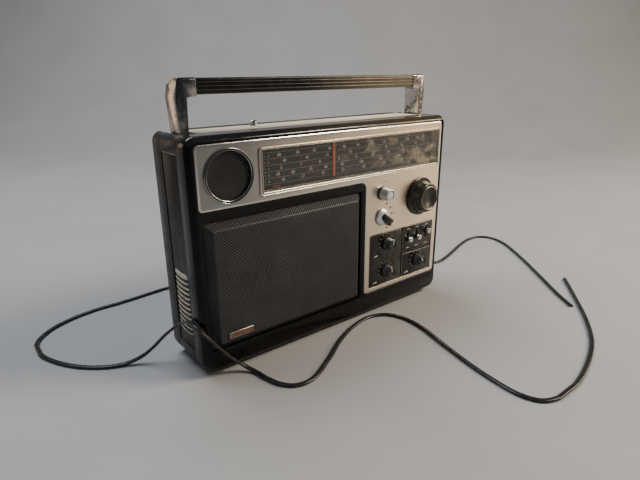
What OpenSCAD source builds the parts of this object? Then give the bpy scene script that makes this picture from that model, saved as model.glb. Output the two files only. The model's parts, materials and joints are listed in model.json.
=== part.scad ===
// Portable table radio with a folding carry handle, an L-shaped metal
// faceplate, a long tuning dial, a perforated loudspeaker grille and two
// twin-flex leads. Millimetres. +X runs along the front to the right,
// +Y runs from front to back, +Z is up, and the feet stand on z = 0.

/* [Case] */
// Width of the case
case_w = 340; // [340:1:352]
// Height of the case with its feet
case_h = 232; // [232:1:236]
// Height of the rubber feet
foot_h = 5; // [4:0.5:6]
// Wall thickness of the case mouldings
wall = 3.2; // [2.8:0.1:3.6]
// Radius of the two top corners
top_r = 10; // [8:1:11]
// Radius of the two bottom corners
bottom_r = 13; // [11:1:14]

/* [Depth] */
// Distance from the origin to the plane of the front edge
front_offset = 25; // [25:0.5:26]
// Depth of the front frame behind that plane
frame_d = 17; // [17:0.5:17.5]
// Where the middle shell meets the rear cover
seam_d = 52.5; // [52.5:0.5:53]
// Where the rear face of the case lies
rear_d = 69; // [69:0.5:69.5]

/* [Handle] */
// Height of the handle's pivot
pivot_h = 219; // [218.5:0.5:219.5]
// Depth of the handle's pivot behind the front plane
pivot_d = 38; // [37.5:0.5:38.5]
// Top of the upright handle
handle_h = 279; // [277:1:282]
// Depth of the grip, front to back
grip_d = 22; // [21:0.5:22]
// Radius of the pivot pins
pin_r = 2.5; // [2.3:0.1:2.6]

/* [Controls] */
// Diameter of the small knobs where they meet the panel
small_knob_d = 14.5; // [13:0.5:15]
// Length of the small knobs
small_knob_l = 11; // [9:0.5:12]
// Diameter of the tuning knob's skirt
tuning_d = 46.7; // [44:0.1:47]
// Length of the tuning knob
tuning_l = 16; // [14:0.5:16]
// Radius of every control spindle
spindle_r = 3; // [2.8:0.1:3]
// Travel of the slide switches
switch_travel = 5; // [4:0.5:5]

/* [Loudspeaker] */
// Height that the grille stands proud
grille_rise = 9; // [7:0.5:9]
// Radius of the woofer's opening
woofer_r = 46; // [40:1:46]
// Radius of the tweeter ring
tweeter_r = 25; // [24:0.5:25]

/* [Leads] */
// Width of the flat twin flex
flex_w = 5; // [4:0.5:5]
// Thickness of the flat twin flex
flex_t = 3; // [2.6:0.2:3]

/* [Hidden] */
$fn = 64;
e = 0.01;

hw = case_w / 2;
// outline of the faceplate
plate_l = -163; plate_rt = 163; plate_t = 225.3; band_b = 166.2;
col_l = 37.1; col_b = 30.5;
// control positions on the front, [x, z]
p_fine = [63.5, 150];
p_band = [63.3, 122];
p_tune = [127.6, 137.2];
p_volume = [72.3, 88.5];
p_bass = [72.5, 53.5];
p_treble = [128.5, 54.5];
p_tweet = [-131.3, 196];
p_woof = [-66, 93];
p_switch = [[111, 85], [127, 85], [144.5, 90]];
p_button = [-74, 46];
p_screw = [[-157, 18], [157, 18], [-157, 166], [157, 166]];
p_drum = [98, 150];
p_gland = [[30, 24], [110, 24]];
ant = [-138, 227];      // antenna hinge, [x, z]
cell_y = rear_d - 18.5;  // centreline of the cells
door_y = rear_d - 1.25;  // axis of the battery door
door_z = 11.55;
trim_b = rear_d - 14.5;  // rear edge of the top trim
ant_y = rear_d - 8.2;   // antenna centreline behind the front plane

// Route of the lead that leaves the rear, passes the left side, leans
// over the front left corner and lies in a wide loop on the right.
mains_route = [
  [30, 69, 24], [30, 85, 22], [28, 105, 14], [22, 128, 5],
  [9, 152.5, 1.6], [-14, 176.5, 1.6], [-43, 193.5, 1.6],
  [-76, 203.5, 1.6], [-110, 205.5, 1.6], [-145, 202.5, 1.6],
  [-178, 199.5, 1.6], [-209, 198.5, 1.6], [-239, 191.5, 1.6],
  [-265, 177.5, 1.6], [-283, 154.5, 1.6], [-285, 125.5, 1.6],
  [-274, 96.5, 1.6], [-257, 72.5, 1.6], [-237, 56.5, 1.6],
  [-219, 48.5, 3], [-205, 42.5, 9], [-194, 36.5, 19], [-185, 30.5, 30],
  [-178, 21.5, 40], [-174, 9.5, 49], [-173.5, -4.5, 55.5],
  [-173.6, -20.5, 58.5], [-170.5, -30.5, 54], [-160, -34, 39],
  [-147, -34, 22], [-134, -35.5, 8], [-126, -45.5, 2],
  [-123, -62.5, 1.6], [-118, -78.5, 1.6], [-108, -89.5, 1.6],
  [-91, -91.5, 1.6], [-54, -73.5, 1.6], [-22, -53.5, 1.6],
  [12, -38.5, 1.6], [41, -33.5, 1.6], [62, -41.5, 1.6],
  [72, -61.5, 1.6], [71, -90.5, 1.6], [60, -129.5, 1.6],
  [49, -171.5, 1.6], [43, -205.5, 1.6], [42, -230.5, 1.6],
  [49, -247.5, 1.6], [66, -255.5, 1.6], [96, -255.5, 1.6],
  [140, -246.5, 1.6], [188, -229.5, 1.6], [233, -203.5, 1.6],
  [285, -165.5, 1.6], [337, -125.5, 1.6]];
// Route of the lead that leaves the rear on the right.
second_route = [
  [110, 69, 24], [110, 85, 22], [114, 105, 13], [124, 125, 5],
  [141, 139.5, 1.6], [165, 141.5, 1.6], [187, 124.5, 1.6],
  [202, 98.5, 1.6], [214, 68.5, 1.6], [229, 43.5, 1.6],
  [250, 31.5, 1.6], [276, 35.5, 1.6], [310, 46.5, 1.6],
  [345, 58.5, 1.6], [378, 66.5, 1.6], [404, 64.5, 1.6],
  [417, 48.5, 1.6], [410, 19.5, 1.6], [369, -38.5, 1.6],
  [319, -98.5, 1.6], [278, -146.5, 1.6], [258, -173.5, 1.6]];

// ---- helpers -----------------------------------------------------
// places what is drawn from the front plane into the part's frame
module at_front() translate([0, -front_offset, 0]) children();
// extrudes an [x, z] outline from depth a to depth b
module deep(a, b) translate([0, b, 0]) rotate([90, 0, 0])
  linear_extrude(b - a) children();
// extrudes a [y, z] outline from x = a to x = b
module across(a, b) translate([a, 0, 0]) rotate([90, 0, 90])
  linear_extrude(b - a) children();
module box(a, b) translate(a) cube([b[0]-a[0], b[1]-a[1], b[2]-a[2]]);
// round bar along Y at [x, z]
module ybar(p, r, a, b) translate([p[0], b, p[1]]) rotate([90, 0, 0])
  cylinder(r = r, h = b - a);
// tapered round bar along Y, radius ra at a and rb at b
module ycone(p, ra, rb, a, b) translate([p[0], a, p[1]])
  rotate([-90, 0, 0]) cylinder(r1 = ra, r2 = rb, h = b - a);
// round bar along X at [y, z]
module xbar(p, r, a, b) translate([a, p[0], p[1]]) rotate([0, 90, 0])
  cylinder(r = r, h = b - a);
// rounded rectangle in [x, z]
module rr(x0, z0, x1, z1, r) {
  translate([x0 + r, z0]) square([x1 - x0 - 2*r, z1 - z0]);
  translate([x0, z0 + r]) square([x1 - x0, z1 - z0 - 2*r]);
  for (x = [x0 + r, x1 - r], z = [z0 + r, z1 - r])
    translate([x, z]) circle(r);
}
// outline of the case, drawn in by i
module profile(i) {
  w = hw - i; a = foot_h + i; b = case_h - i;
  t = top_r - i; q = bottom_r - i;
  translate([-w, a + q]) square([2*w, b - t - a - q]);
  translate([-w + q, a]) square([2*(w - q), q + e]);
  translate([-w + t, b - t - e]) square([2*(w - t), t + e]);
  for (s = [-1, 1]) {
    translate([s*(w - q), a + q]) circle(q);
    translate([s*(w - t), b - t]) circle(t);
  }
}
module ring_profile() difference() { profile(0); profile(wall); }
// L-shaped outline of the faceplate
module plate_outline() {
  rr(plate_l, band_b, plate_rt, plate_t, 4);
  rr(col_l, col_b, plate_rt, plate_t, 4);
}
// a pair of slots in the top that the handle's arms fold through
module arm_slots(y0, y1) for (s = [-1, 1])
  box([s < 0 ? -162.5 : 149, y0, 205], [s < 0 ? -149 : 162.5, y1, 240]);

// smooth curve through a route: point at u on segment i
function clampi(v, n) = v < 0 ? 0 : v > n ? n : v;
function curve(p, i, u) = let (n = len(p) - 1, a = p[clampi(i-1, n)],
  b = p[i], c = p[clampi(i+1, n)], d = p[clampi(i+2, n)])
  0.5*(2*b + (c - a)*u + (2*a - 5*b + 4*c - d)*u*u
    + (3*b - a - 3*c + d)*u*u*u);
function unit(v) = v / norm(v);
// tube of flat section w by t swept along points q
module flex_tube(q, w, t) {
  n = len(q); k = 8;
  pts = [for (i = [0 : n-1])
    let (d = unit(q[clampi(i+1, n-1)] - q[clampi(i-1, n-1)]),
      s = unit(cross(d, [0, 0, 1])), v = cross(s, d))
    for (j = [0 : k-1]) q[i] + s*(w/2*cos(360*(j+0.5)/k)/cos(22.5))
      + v*(t/2*sin(360*(j+0.5)/k)/cos(22.5))];
  faces = concat(
    [[for (j = [k-1 : -1 : 0]) j]],
    [for (i = [0 : n-2], j = [0 : k-1])
      [i*k + j, i*k + (j+1)%k, (i+1)*k + (j+1)%k]],
    [for (i = [0 : n-2], j = [0 : k-1])
      [i*k + j, (i+1)*k + (j+1)%k, (i+1)*k + j]],
    [[for (j = [0 : k-1]) (n-1)*k + j]]);
  polyhedron(points = pts, faces = [for (f = faces)
    [for (i = [len(f)-1 : -1 : 0]) f[i]]], convexity = 10);
}

// ---- case --------------------------------------------------------
module front_frame() color("#1b1b1c") at_front() difference() {
  union() {
    difference() {
      union() {
        deep(-3.5, 0) profile(3.5);
        deep(0, 2) profile(0);
        deep(2, frame_d) ring_profile();
      }
      deep(-4, -2) plate_outline();
      deep(-4, 0) rr(-161.4, 29, 29.5, 156.5, 2);
    }
    for (p = p_screw) ybar(p, 4.5, 1.9, frame_d);
    // posts for the chassis
    for (x = [36, 146], z = [24, 168]) ybar([x, z], 3.5, 1.9, 20);
  }
  for (p = p_screw) ybar(p, 1.5, 5, 20);
  ybar(p_woof, woofer_r, -1, 3);
  ybar(p_tweet, 23, -3, -1);
  ybar(p_tweet, 19, -2, 3);
  deep(-3, 3) rr(-97.5, 174.5, 155.5, 215.9, 1.5);
  for (p = [p_fine, p_band, p_volume, p_bass, p_treble])
    ybar(p, spindle_r + 0.6, -3, 3);
  ybar(p_tune, spindle_r + 0.05, -3, 3);
  for (p = p_switch) box([p[0]-1.8, -3, 80], [p[0]+1.8, 3, 95]);
}

module mid_shell() color("#1d1d1e") at_front() {
  difference() {
    deep(frame_d, seam_d) ring_profile();
    for (s = [-1, 1])
      box([s < 0 ? -180 : 160, 18.2, 24.5], [s < 0 ? -160 : 180, 51.3, 216]);
    arm_slots(25.5, seam_d + 1);
    box([-146, 20, case_h - 0.8], [146, seam_d + 1, case_h + 1]);
    translate([p_button[0], p_button[1], 220]) cylinder(r = 3.8, h = 20);
  }
  // cheeks that carry the handle's pivot pins
  for (s = [-1, 1]) mirror([s < 0 ? 1 : 0, 0, 0]) difference() {
    union() {
      box([145, 25, 205], [148, 50, case_h - wall]);
      box([163, 25, 205], [hw - wall, 50, 228]);
    }
    xbar([pivot_d, pivot_h], pin_r, 140, 170);
  }
  // well under the dial light button
  translate([p_button[0], p_button[1], 0]) difference() {
    translate([0, 0, 210]) cylinder(r = 7.5, h = case_h - wall - 210);
    translate([0, 0, 212]) cylinder(r = 6, h = 30);
  }
}

module rear_cover() color("#1a1a1b") at_front() difference() {
  union() {
    deep(seam_d, rear_d) ring_profile();
    deep(rear_d - wall, rear_d) profile(0);
    for (p = p_screw) ybar(p, 4.5, seam_d + 1, rear_d - wall);
    // battery box
    box([-148, cell_y - 16, 9], [7, rear_d - wall, 66]);
    // trough for the stowed antenna
    box([-148, rear_d - 15, 220.5], [hw - wall, rear_d - wall, case_h - wall]);
    // screw posts of the gland plate
    for (p = p_gland) ybar(p, 8, rear_d - 5.5, rear_d - wall);
  }
  box([-146, cell_y - 14, 11], [5, 90, 64]);
  box([-148, rear_d - 2.5, 10], [7, 90, 65]);
  // sockets for the door's hinge pins
  xbar([door_y, door_z], 0.85, -150.5, 9.5);
  arm_slots(50, 90);
  box([-146, rear_d - 13, 222.5], [hw + 5, rear_d - 3.5, 240]);
  box([-146, 40, case_h - 0.8], [146, trim_b, case_h + 1]);
  for (p = p_screw) {
    ybar(p, 1.8, 50, 90);
    ybar(p, 3.7, rear_d - 2, 90);
  }
  for (p = p_gland) ybar(p, 4.5, 50, 90);
  // ventilation slots behind the transformer and the loudspeaker
  for (z = [96 : 8 : 176]) for (x = [-114, -10, 100])
    deep(55, 90) rr(x - 35, z, x + 35, z + 3, 1.4);
}

module side_plate() {
  // local frame: outside face towards +X at x = hw - 0.8
  box([hw - wall, 18.2, 24.5], [hw - 0.8, 51.3, 216]);
}
module left_vent_panel() color("#202021") at_front()
  mirror([1, 0, 0]) {
    difference() {
      side_plate();
      box([150, 19.4, 37.5], [200, 50.1, 101.1]);
    }
    // twelve hooded louvres
    for (i = [0 : 11]) translate([0, 50.1, 37.5 + 5.3*i])
      rotate([90, 0, 0]) linear_extrude(30.7)
      polygon([[hw - wall, 0.2], [hw - 0.8, 0.2], [hw - 0.1, 1.4],
        [hw - 0.1, 3.4], [hw - wall, 5.1]]);
  }
module right_side_panel() color("#202021") at_front() difference() {
  union() {
    side_plate();
    xbar([35, 60], 5, hw - 10, hw - wall);
  }
  xbar([35, 60], 1.75, 150, 180);
}

// ---- front trim --------------------------------------------------
module faceplate() color("#b9b6ad") at_front() difference() {
  deep(-3.5, -2) plate_outline();
  ybar(p_tweet, 23, -5, 0);
  deep(-5, 0) rr(-97.5, 174.5, 155.5, 215.9, 1.5);
  deep(-5, 0) rr(44.3, 36.2, 155.7, 102.1, 1.5);
  ybar(p_fine, spindle_r + 0.6, -5, 0);
  ybar(p_band, spindle_r + 0.6, -5, 0);
  ybar(p_tune, spindle_r + 0.6, -5, 0);
}
module tweeter_trim_ring() color("#d9d9d9") at_front()
  translate([p_tweet[0], 0, p_tweet[1]]) rotate([90, 0, 0])
  rotate_extrude() polygon([[21.5, 2], [23, 2], [23, 3.5],
    [tweeter_r, 3.5], [tweeter_r, 4.6], [tweeter_r - 1.2, 5.8],
    [tweeter_r - 2.4, 5.2], [21.5, 3.4]]);
module tweeter_grille() color("#141414") at_front()
  ybar(p_tweet, 23, -2, -1);
module dial_window_frame() color("#cfcbc0") at_front() difference() {
  deep(-5, -3.5) rr(-100.3, 171.8, 157.8, 217.6, 3);
  deep(-6, -3) rr(-96.5, 175.5, 154.5, 214.9, 1);
}
module dial_lens() color("#e8eef0", 0.35) at_front()
  deep(-4.5, -3) rr(-96.5, 175.5, 154.5, 214.9, 1);
module dial_tub() color("#d8d2bf") at_front() {
  difference() {
    deep(-3.5, 6) rr(-97.5, 174.5, 155.5, 215.9, 1.5);
    deep(-4, 7) rr(-96.5, 175.5, 154.5, 214.9, 1);
    box([-93, 1.9, 214], [139, 4, 217]);
  }
  // rail for the pointer's carriage
  box([-104, 4.6, 213], [-97.5, 8, 222]);
  box([155.5, 4.6, 213], [159.5, 8, 222]);
  xbar([6.3, 220], 1.2, -100, 158);
}
module dial_scale() color("#15130f") at_front()
  deep(5, 6) rr(-96.5, 175.5, 154.5, 214.9, 1);
module dial_pointer() color("#d8481c") at_front() difference() {
  union() {
    box([-6.6, 2.3, 178.5], [-3.4, 3.5, 222.5]);
    box([-9, 2.3, 217], [-1, 8.6, 222.5]);
  }
  xbar([6.3, 220], 1.25, -20, 20);
}
module speaker_grille() color("#101011") at_front() difference() {
  hull() {
    box([-161.4, -0.6, 29], [29.5, 0, 156.5]);
    box([-161.4 + grille_rise, -grille_rise, 29 + grille_rise],
      [29.5 - grille_rise, -1, 156.5 - grille_rise]);
  }
  hull() {
    box([-160, -0.6, 30.4], [28.1, 0.1, 155.1]);
    box([-159.4 + grille_rise, 1 - grille_rise, 31 + grille_rise],
      [27.5 - grille_rise, -1, 154.5 - grille_rise]);
  }
}
module badge_plate() color("#b5afa2") at_front()
  deep(-grille_rise - 1.2, -grille_rise) rr(-145.5, 39.8, -118.5, 46.4, 0.8);
module panel_holes(c) for (p = c) ybar(p, spindle_r + 0.6, -5, 0);
module control_panel_left() color("#0c0c0d") at_front() difference() {
  deep(-3.2, -2) rr(45, 37, 99, 101.3, 1);
  panel_holes([p_volume, p_bass]);
}
module switch_panel() color("#0c0c0d") at_front() difference() {
  deep(-3.2, -2) rr(101.5, 68.5, 155, 101.3, 1);
  for (p = p_switch) box([p[0]-1.8, -5, 80], [p[0]+1.8, 0, 95]);
}
module control_panel_lower() color("#0c0c0d") at_front() difference() {
  deep(-3.2, -2) rr(101.5, 37, 155, 66.5, 1);
  panel_holes([p_treble]);
}

// ---- controls ----------------------------------------------------
module tuning_knob() color("#0f0f10") at_front() difference() {
  union() {
    ycone(p_tune, tuning_d/2 - 0.8, tuning_d/2, -6.2, -4.2);
    ycone(p_tune, 17.2, 19.2, -tuning_l - 2, -6.2);
  }
  ybar(p_tune, spindle_r, -12, 0);
  ybar(p_tune, 14.5, -20, -tuning_l - 1);
}
module tuning_knob_cap() color("#c9c9c6") at_front()
  ycone(p_tune, 13.9, 14.5, -tuning_l - 3.3, -tuning_l - 1);
module tuning_spindle() color("#b0b0b0") at_front() {
  ybar(p_tune, spindle_r, -12, 24);
  ybar(p_tune, 5, 8, 16);
}
// a small tapered knob with its spindle reaching depth b
module small_knob(p, d, l, b) {
  ycone(p, d/2 - 1.25, d/2, -3.7 - l, -3.7);
  ybar(p, spindle_r, -3.8, b);
}
module fine_tuning_knob() color("#c4c2bd") at_front() {
  ycone(p_fine, 6.5, 8, -16.5, -4);
  ybar(p_fine, spindle_r, -4.1, 10.5);
}
module band_selector_knob() color("#c4c2bd") at_front() {
  ycone(p_band, 9.4, 10.25, -8, -4);
  // raised finger bar that points to the band
  translate([p_band[0], -14, p_band[1]]) rotate([0, 46, 0])
    translate([-9.2, 0, -3.4]) cube([19.4, 6.05, 6.8]);
  ybar(p_band, spindle_r, -4.1, 13.5);
}
module volume_knob() color("#0e0e0f") at_front()
  small_knob(p_volume, small_knob_d, small_knob_l, 10.5);
module bass_knob() color("#0e0e0f") at_front()
  small_knob(p_bass, small_knob_d, small_knob_l, 10.5);
module treble_knob() color("#0e0e0f") at_front()
  small_knob(p_treble, small_knob_d, small_knob_l, 10.5);
module lever(p) {
  box([p[0]-2.6, -9.4, p[1]-3.1], [p[0]+2.6, -3.5, p[1]+3.1]);
  box([p[0]-1.4, -3.6, p[1]-1.5], [p[0]+1.4, 8, p[1]+1.5]);
}
module switch_lever_1() color("#cfcfcd") at_front() lever(p_switch[0]);
module switch_lever_2() color("#cfcfcd") at_front() lever(p_switch[1]);
module switch_lever_3() color("#cfcfcd") at_front() lever(p_switch[2]);
module slide_switch_bodies() color("#8d8f90") at_front()
  for (p = p_switch) difference() {
    box([p[0]-6, 2, 76], [p[0]+6, 12, 99]);
    box([p[0]-1.8, 1, 80], [p[0]+1.8, 8.6, 95]);
  }
module potentiometers() color("#9a9c9d") at_front()
  for (p = [p_fine, p_volume, p_bass, p_treble]) difference() {
    ybar(p, 8.5, 2, 13);
    ybar(p, spindle_r + 0.05, 1, 11);
  }
module band_switch_body() color("#7d5b34") at_front() difference() {
  ybar(p_band, 13, 2, 17);
  ybar(p_band, spindle_r + 0.05, 1, 14);
}

// ---- handle ------------------------------------------------------
// outline of one arm seen from the front, on the +X side
module arm_front() {
  polygon([[152, pivot_h], [158.5, pivot_h], [161.5, handle_h - 16],
    [158.3, handle_h], [141, handle_h], [141, handle_h - 15.5],
    [150.5, handle_h - 17]]);
  translate([152, 205]) square([6.5, pivot_h - 205 + e]);
}
// outline of the handle seen from the side, in [y, z]
module arm_side() {
  f = pivot_d - grip_d/2; b = pivot_d + grip_d/2;
  polygon([[f, pivot_h], [b, pivot_h], [b, handle_h - 6],
    [b - 4, handle_h - 4.6], [b - 15, handle_h], [f + 1.5, handle_h],
    [f, handle_h - 1.5]]);
  translate([pivot_d, pivot_h]) circle(grip_d/2);
}
module handle_arm() difference() {
  intersection() {
    deep(0, 80) arm_front();
    across(100, 200) arm_side();
  }
  xbar([pivot_d, pivot_h], pin_r + 0.05, 140, 170);
}
module handle_right_arm() color("#d3d1cc") at_front() handle_arm();
module handle_left_arm() color("#d3d1cc") at_front()
  mirror([1, 0, 0]) handle_arm();
module handle_grip() color("#121213") at_front() {
  f = pivot_d - grip_d/2; b = pivot_d + grip_d/2;
  across(-141, 141) polygon([[f + 2.5, handle_h - 14.5],
    [b - 2, handle_h - 15.5], [b, handle_h - 13], [b, handle_h - 6],
    [b - 4, handle_h - 4.6], [b - 15, handle_h - 0.4],
    [f + 2.5, handle_h - 0.4]]);
}
module handle_grip_strip() color("#1c1a18") at_front() {
  f = pivot_d - grip_d/2;
  across(-141, 141) polygon(concat(
    [[f + 2.5, handle_h - 0.4], [f + 2.5, handle_h - 14.5]],
    [for (i = [0 : 4], k = [0, 1])
      [f + (k == 0 ? 0.3 : 1.3), handle_h - 14 + 2.8*i],
      ],
    [[f + 0.3, handle_h - 0.4]]));
}
module handle_pivot_pins() color("#a8a8a8") at_front()
  for (s = [-1, 1]) mirror([s < 0 ? 1 : 0, 0, 0])
    xbar([pivot_d, pivot_h], pin_r, 145, hw - wall);

// ---- top ---------------------------------------------------------
module top_trim() color("#cbc7bb") at_front() difference() {
  box([-146, 20, case_h - 0.8], [146, trim_b, case_h]);
  translate([p_button[0], p_button[1], 220]) cylinder(r = 3.8, h = 20);
}
module dial_light_button() color("#dedede") at_front()
  translate([p_button[0], p_button[1], 0]) {
    translate([0, 0, 223]) cylinder(r = 5.6, h = 2);
    translate([0, 0, 224]) cylinder(r = 3.6, h = 12.4);
    translate([0, 0, 236.4]) cylinder(r1 = 3.6, r2 = 2.9, h = 0.9);
  }
module button_spring() color("#9c9c9c") at_front()
  translate([p_button[0], p_button[1], 212]) difference() {
    cylinder(r = 4.8, h = 11);
    translate([0, 0, -1]) cylinder(r = 4, h = 13);
  }

// ---- telescopic antenna ------------------------------------------
module antenna_bracket() color("#b8b8b8") at_front() {
  difference() {
    union() {
      box([ant[0]-6, ant_y-4.8, 222.5], [ant[0]+5, ant_y-2.4, 231]);
      box([ant[0]-6, ant_y+2.4, 222.5], [ant[0]+5, ant_y+4.7, 231]);
    }
    ybar(ant, 1.5, 40, 80);
  }
  ybar(ant, 1.5, ant_y - 4.8, ant_y + 4.7);
}
module antenna_tube() color("#d8d8d8") at_front() difference() {
  union() {
    ybar(ant, 3.5, ant_y - 2.1, ant_y + 2.1);
    box([ant[0], ant_y-2.1, ant[1]-3], [ant[0]+9, ant_y+2.1, ant[1]+3]);
    xbar([ant_y, ant[1]], 3.4, ant[0]+8, 120);
  }
  ybar(ant, 1.55, 40, 80);
  xbar([ant_y, ant[1]], 2.5, ant[0]+12, 130);
}
module antenna_section_2() color("#dddddd") at_front() difference() {
  xbar([ant_y, ant[1]], 2.45, ant[0]+14, 124);
  xbar([ant_y, ant[1]], 1.6, ant[0]+17, 130);
}
module antenna_section_3() color("#e2e2e2") at_front() {
  xbar([ant_y, ant[1]], 1.55, ant[0]+19, 126);
  xbar([ant_y, ant[1]], 3.2, 126, 134);
}

// ---- battery compartment -----------------------------------------
module battery_door() color("#1c1c1d") at_front() difference() {
  union() {
    box([-147.7, rear_d - 2.5, door_z], [6.7, rear_d, 64.7]);
    // rounded lower edge and the pins it turns on
    xbar([door_y, door_z], 1.25, -147.7, 6.7);
    xbar([door_y, door_z], 0.8, -150.2, 9.2);
  }
  for (i = [0 : 4])
    box([-90 + 10*i, rear_d - 0.6, 56], [-85 + 10*i, 80, 62]);
}
module battery_cells() color("#3d5c8a") at_front()
  for (r = [0, 1], k = [0 : 2]) {
    xbar([cell_y, 24 + 26.2*r], 13, -146 + 50*k, -97.5 + 50*k);
    xbar([cell_y, 24 + 26.2*r], 3.5, -97.5 + 50*k, -96 + 50*k);
  }

// ---- inside ------------------------------------------------------
module chassis() color("#a9abac") at_front() difference() {
  union() {
    box([30, 20, 14], [150, 21.2, 214]);
    // arms for the ferrite rod
    for (x = [44, 122]) box([x, 21.1, 190], [x + 4, 58, 202]);
    // posts for the circuit board
    for (x = [36, 146], z = [80, 124]) ybar([x, z], 2.5, 21.1, 44);
    // posts for the tuning capacitor
    for (x = [79.5, 116.5], z = [131.5, 168.5])
      ybar([x, z], 1.5, 21.1, 33);
    // shelf that carries the transformer
    box([98, 21.1, 10.8], [150, 64.5, 12]);
    box([98, 20, 10.8], [150, 21.2, 14.1]);
  }
  ybar(p_tune, spindle_r + 0.05, 19, 22);
  // the ferrite rod rests in a notch of each arm
  xbar([58, 205], 5, 0, 200);
}
module circuit_board() color("#7a6a2f") at_front() {
  box([-20, 44, 72], [150, 45.6, 128]);
  for (x = [-8 : 22 : 130]) ybar([x, 118], 4, 45.5, 58);
  for (x = [-2 : 26 : 128]) box([x, 45.5, 98], [x + 9, 55, 107]);
  for (x = [4 : 34 : 130]) box([x, 45.5, 80], [x + 16, 49.5, 87]);
}
module mains_transformer() color("#6a4a2a") at_front() {
  box([104, 28, 12], [146, 60, 48]);
  box([110, 24, 18], [140, 62, 42]);
}
module tuning_capacitor() color("#b9b5a5") at_front() {
  box([78, 33, 130], [118, 53, 170]);
  ybar(p_drum, 2.5, 24, 33.1);
}
module dial_drum() color("#d6cfb8") at_front() difference() {
  union() {
    ybar(p_drum, 21, 24, 25.5);
    ybar(p_drum, 19.5, 25.4, 28.1);
    ybar(p_drum, 21, 28, 29.5);
  }
  ybar(p_drum, 2.55, 20, 40);
}
module ferrite_rod() color("#3a3634") at_front() {
  xbar([58, 205], 5, -20, 140);
  xbar([58, 205], 6.5, 0, 26);
  xbar([58, 205], 6.5, 70, 100);
}
module woofer_frame() color("#2b2b2b") at_front()
  translate([p_woof[0], 0, p_woof[1]]) rotate([-90, 0, 0]) {
    rotate_extrude() polygon([[46, 2], [58, 2], [58, 4], [48, 5],
      [30, 26], [30, 33.5], [13, 33.5], [13, 24], [27.5, 24], [46, 4]]);
  }
module woofer_cone() color("#3a3733") at_front()
  translate([p_woof[0], 0, p_woof[1]]) rotate([-90, 0, 0])
    rotate_extrude() polygon([[0, 17], [10, 19], [13, 22], [46, 2],
      [46, 3.8], [13, 24], [0, 24]]);
module tweeter_driver() color("#2f2f30") at_front()
  translate([p_tweet[0], 0, p_tweet[1]]) rotate([-90, 0, 0])
    rotate_extrude() polygon([[0, 6], [9, 8], [19, 2], [20, 2],
      [20, 5], [13, 10], [13, 22], [0, 22]]);

module case_screws() color("#8e8e8e") at_front() for (p = p_screw) {
  ybar(p, 3.5, rear_d - 2, rear_d - 0.2);
  ybar(p, 1.45, 6, rear_d - 1.9);
}
module feet() color("#101010") at_front() for (y = [5, 53])
  difference() {
    deep(y, y + 9) rr(-150, 0, 150, foot_h + 4, 2);
    box([-200, y - 1, foot_h], [200, y + 10, foot_h + 10]);
  }
module lead_glands() color("#0d0d0d") at_front() for (p = p_gland) {
  ybar(p, 4.5, rear_d - 5.5, rear_d);
  ycone(p, 6.2, 3.4, rear_d, rear_d + 25);
}
// ---- leads -------------------------------------------------------
module mains_lead() color("#0b0b0b") {
  n = len(mains_route) - 1;
  flex_tube([for (i = [0 : n]) mains_route[i]], flex_w, flex_t);
}
module second_lead() color("#0b0b0b") {
  n = len(second_route) - 1;
  flex_tube([for (i = [0 : n]) second_route[i]], flex_w, flex_t);
}

front_frame();
mid_shell();
rear_cover();
left_vent_panel();
right_side_panel();
faceplate();
tweeter_trim_ring();
tweeter_grille();
dial_window_frame();
dial_lens();
dial_tub();
dial_scale();
dial_pointer();
speaker_grille();
badge_plate();
control_panel_left();
switch_panel();
control_panel_lower();
tuning_knob();
tuning_knob_cap();
tuning_spindle();
fine_tuning_knob();
band_selector_knob();
volume_knob();
bass_knob();
treble_knob();
switch_lever_1();
switch_lever_2();
switch_lever_3();
slide_switch_bodies();
potentiometers();
band_switch_body();
handle_grip();
handle_grip_strip();
handle_left_arm();
handle_right_arm();
handle_pivot_pins();
top_trim();
dial_light_button();
button_spring();
antenna_bracket();
antenna_tube();
antenna_section_2();
antenna_section_3();
battery_door();
battery_cells();
chassis();
circuit_board();
mains_transformer();
tuning_capacitor();
dial_drum();
ferrite_rod();
woofer_frame();
woofer_cone();
tweeter_driver();
case_screws();
feet();
lead_glands();
mains_lead();
second_lead();
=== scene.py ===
import bpy, bmesh, json, math, random
from mathutils import Vector, Matrix
from mathutils.geometry import tessellate_polygon


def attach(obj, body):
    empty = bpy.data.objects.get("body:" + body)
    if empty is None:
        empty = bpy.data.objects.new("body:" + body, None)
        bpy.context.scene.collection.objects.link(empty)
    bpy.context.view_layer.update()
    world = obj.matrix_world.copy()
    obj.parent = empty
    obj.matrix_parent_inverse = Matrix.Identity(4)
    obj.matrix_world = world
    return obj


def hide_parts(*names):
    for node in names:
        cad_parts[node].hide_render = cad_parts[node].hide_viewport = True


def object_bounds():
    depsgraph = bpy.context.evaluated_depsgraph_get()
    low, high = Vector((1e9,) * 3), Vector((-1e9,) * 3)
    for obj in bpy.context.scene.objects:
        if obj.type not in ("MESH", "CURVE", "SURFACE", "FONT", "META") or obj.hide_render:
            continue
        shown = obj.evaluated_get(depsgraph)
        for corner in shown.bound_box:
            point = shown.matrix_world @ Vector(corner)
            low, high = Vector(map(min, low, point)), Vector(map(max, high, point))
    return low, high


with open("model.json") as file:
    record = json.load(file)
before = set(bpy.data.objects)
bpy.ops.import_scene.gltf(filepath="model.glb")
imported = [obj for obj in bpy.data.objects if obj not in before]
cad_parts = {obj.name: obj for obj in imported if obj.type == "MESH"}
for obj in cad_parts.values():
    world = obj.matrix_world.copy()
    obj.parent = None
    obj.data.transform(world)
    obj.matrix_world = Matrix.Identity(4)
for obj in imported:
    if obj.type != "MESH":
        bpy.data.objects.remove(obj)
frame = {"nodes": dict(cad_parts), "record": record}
cad_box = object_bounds()
scene = bpy.context.scene
YO = -25.0                      # the front plane in the part's frame, mm
MM = 0.001


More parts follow.
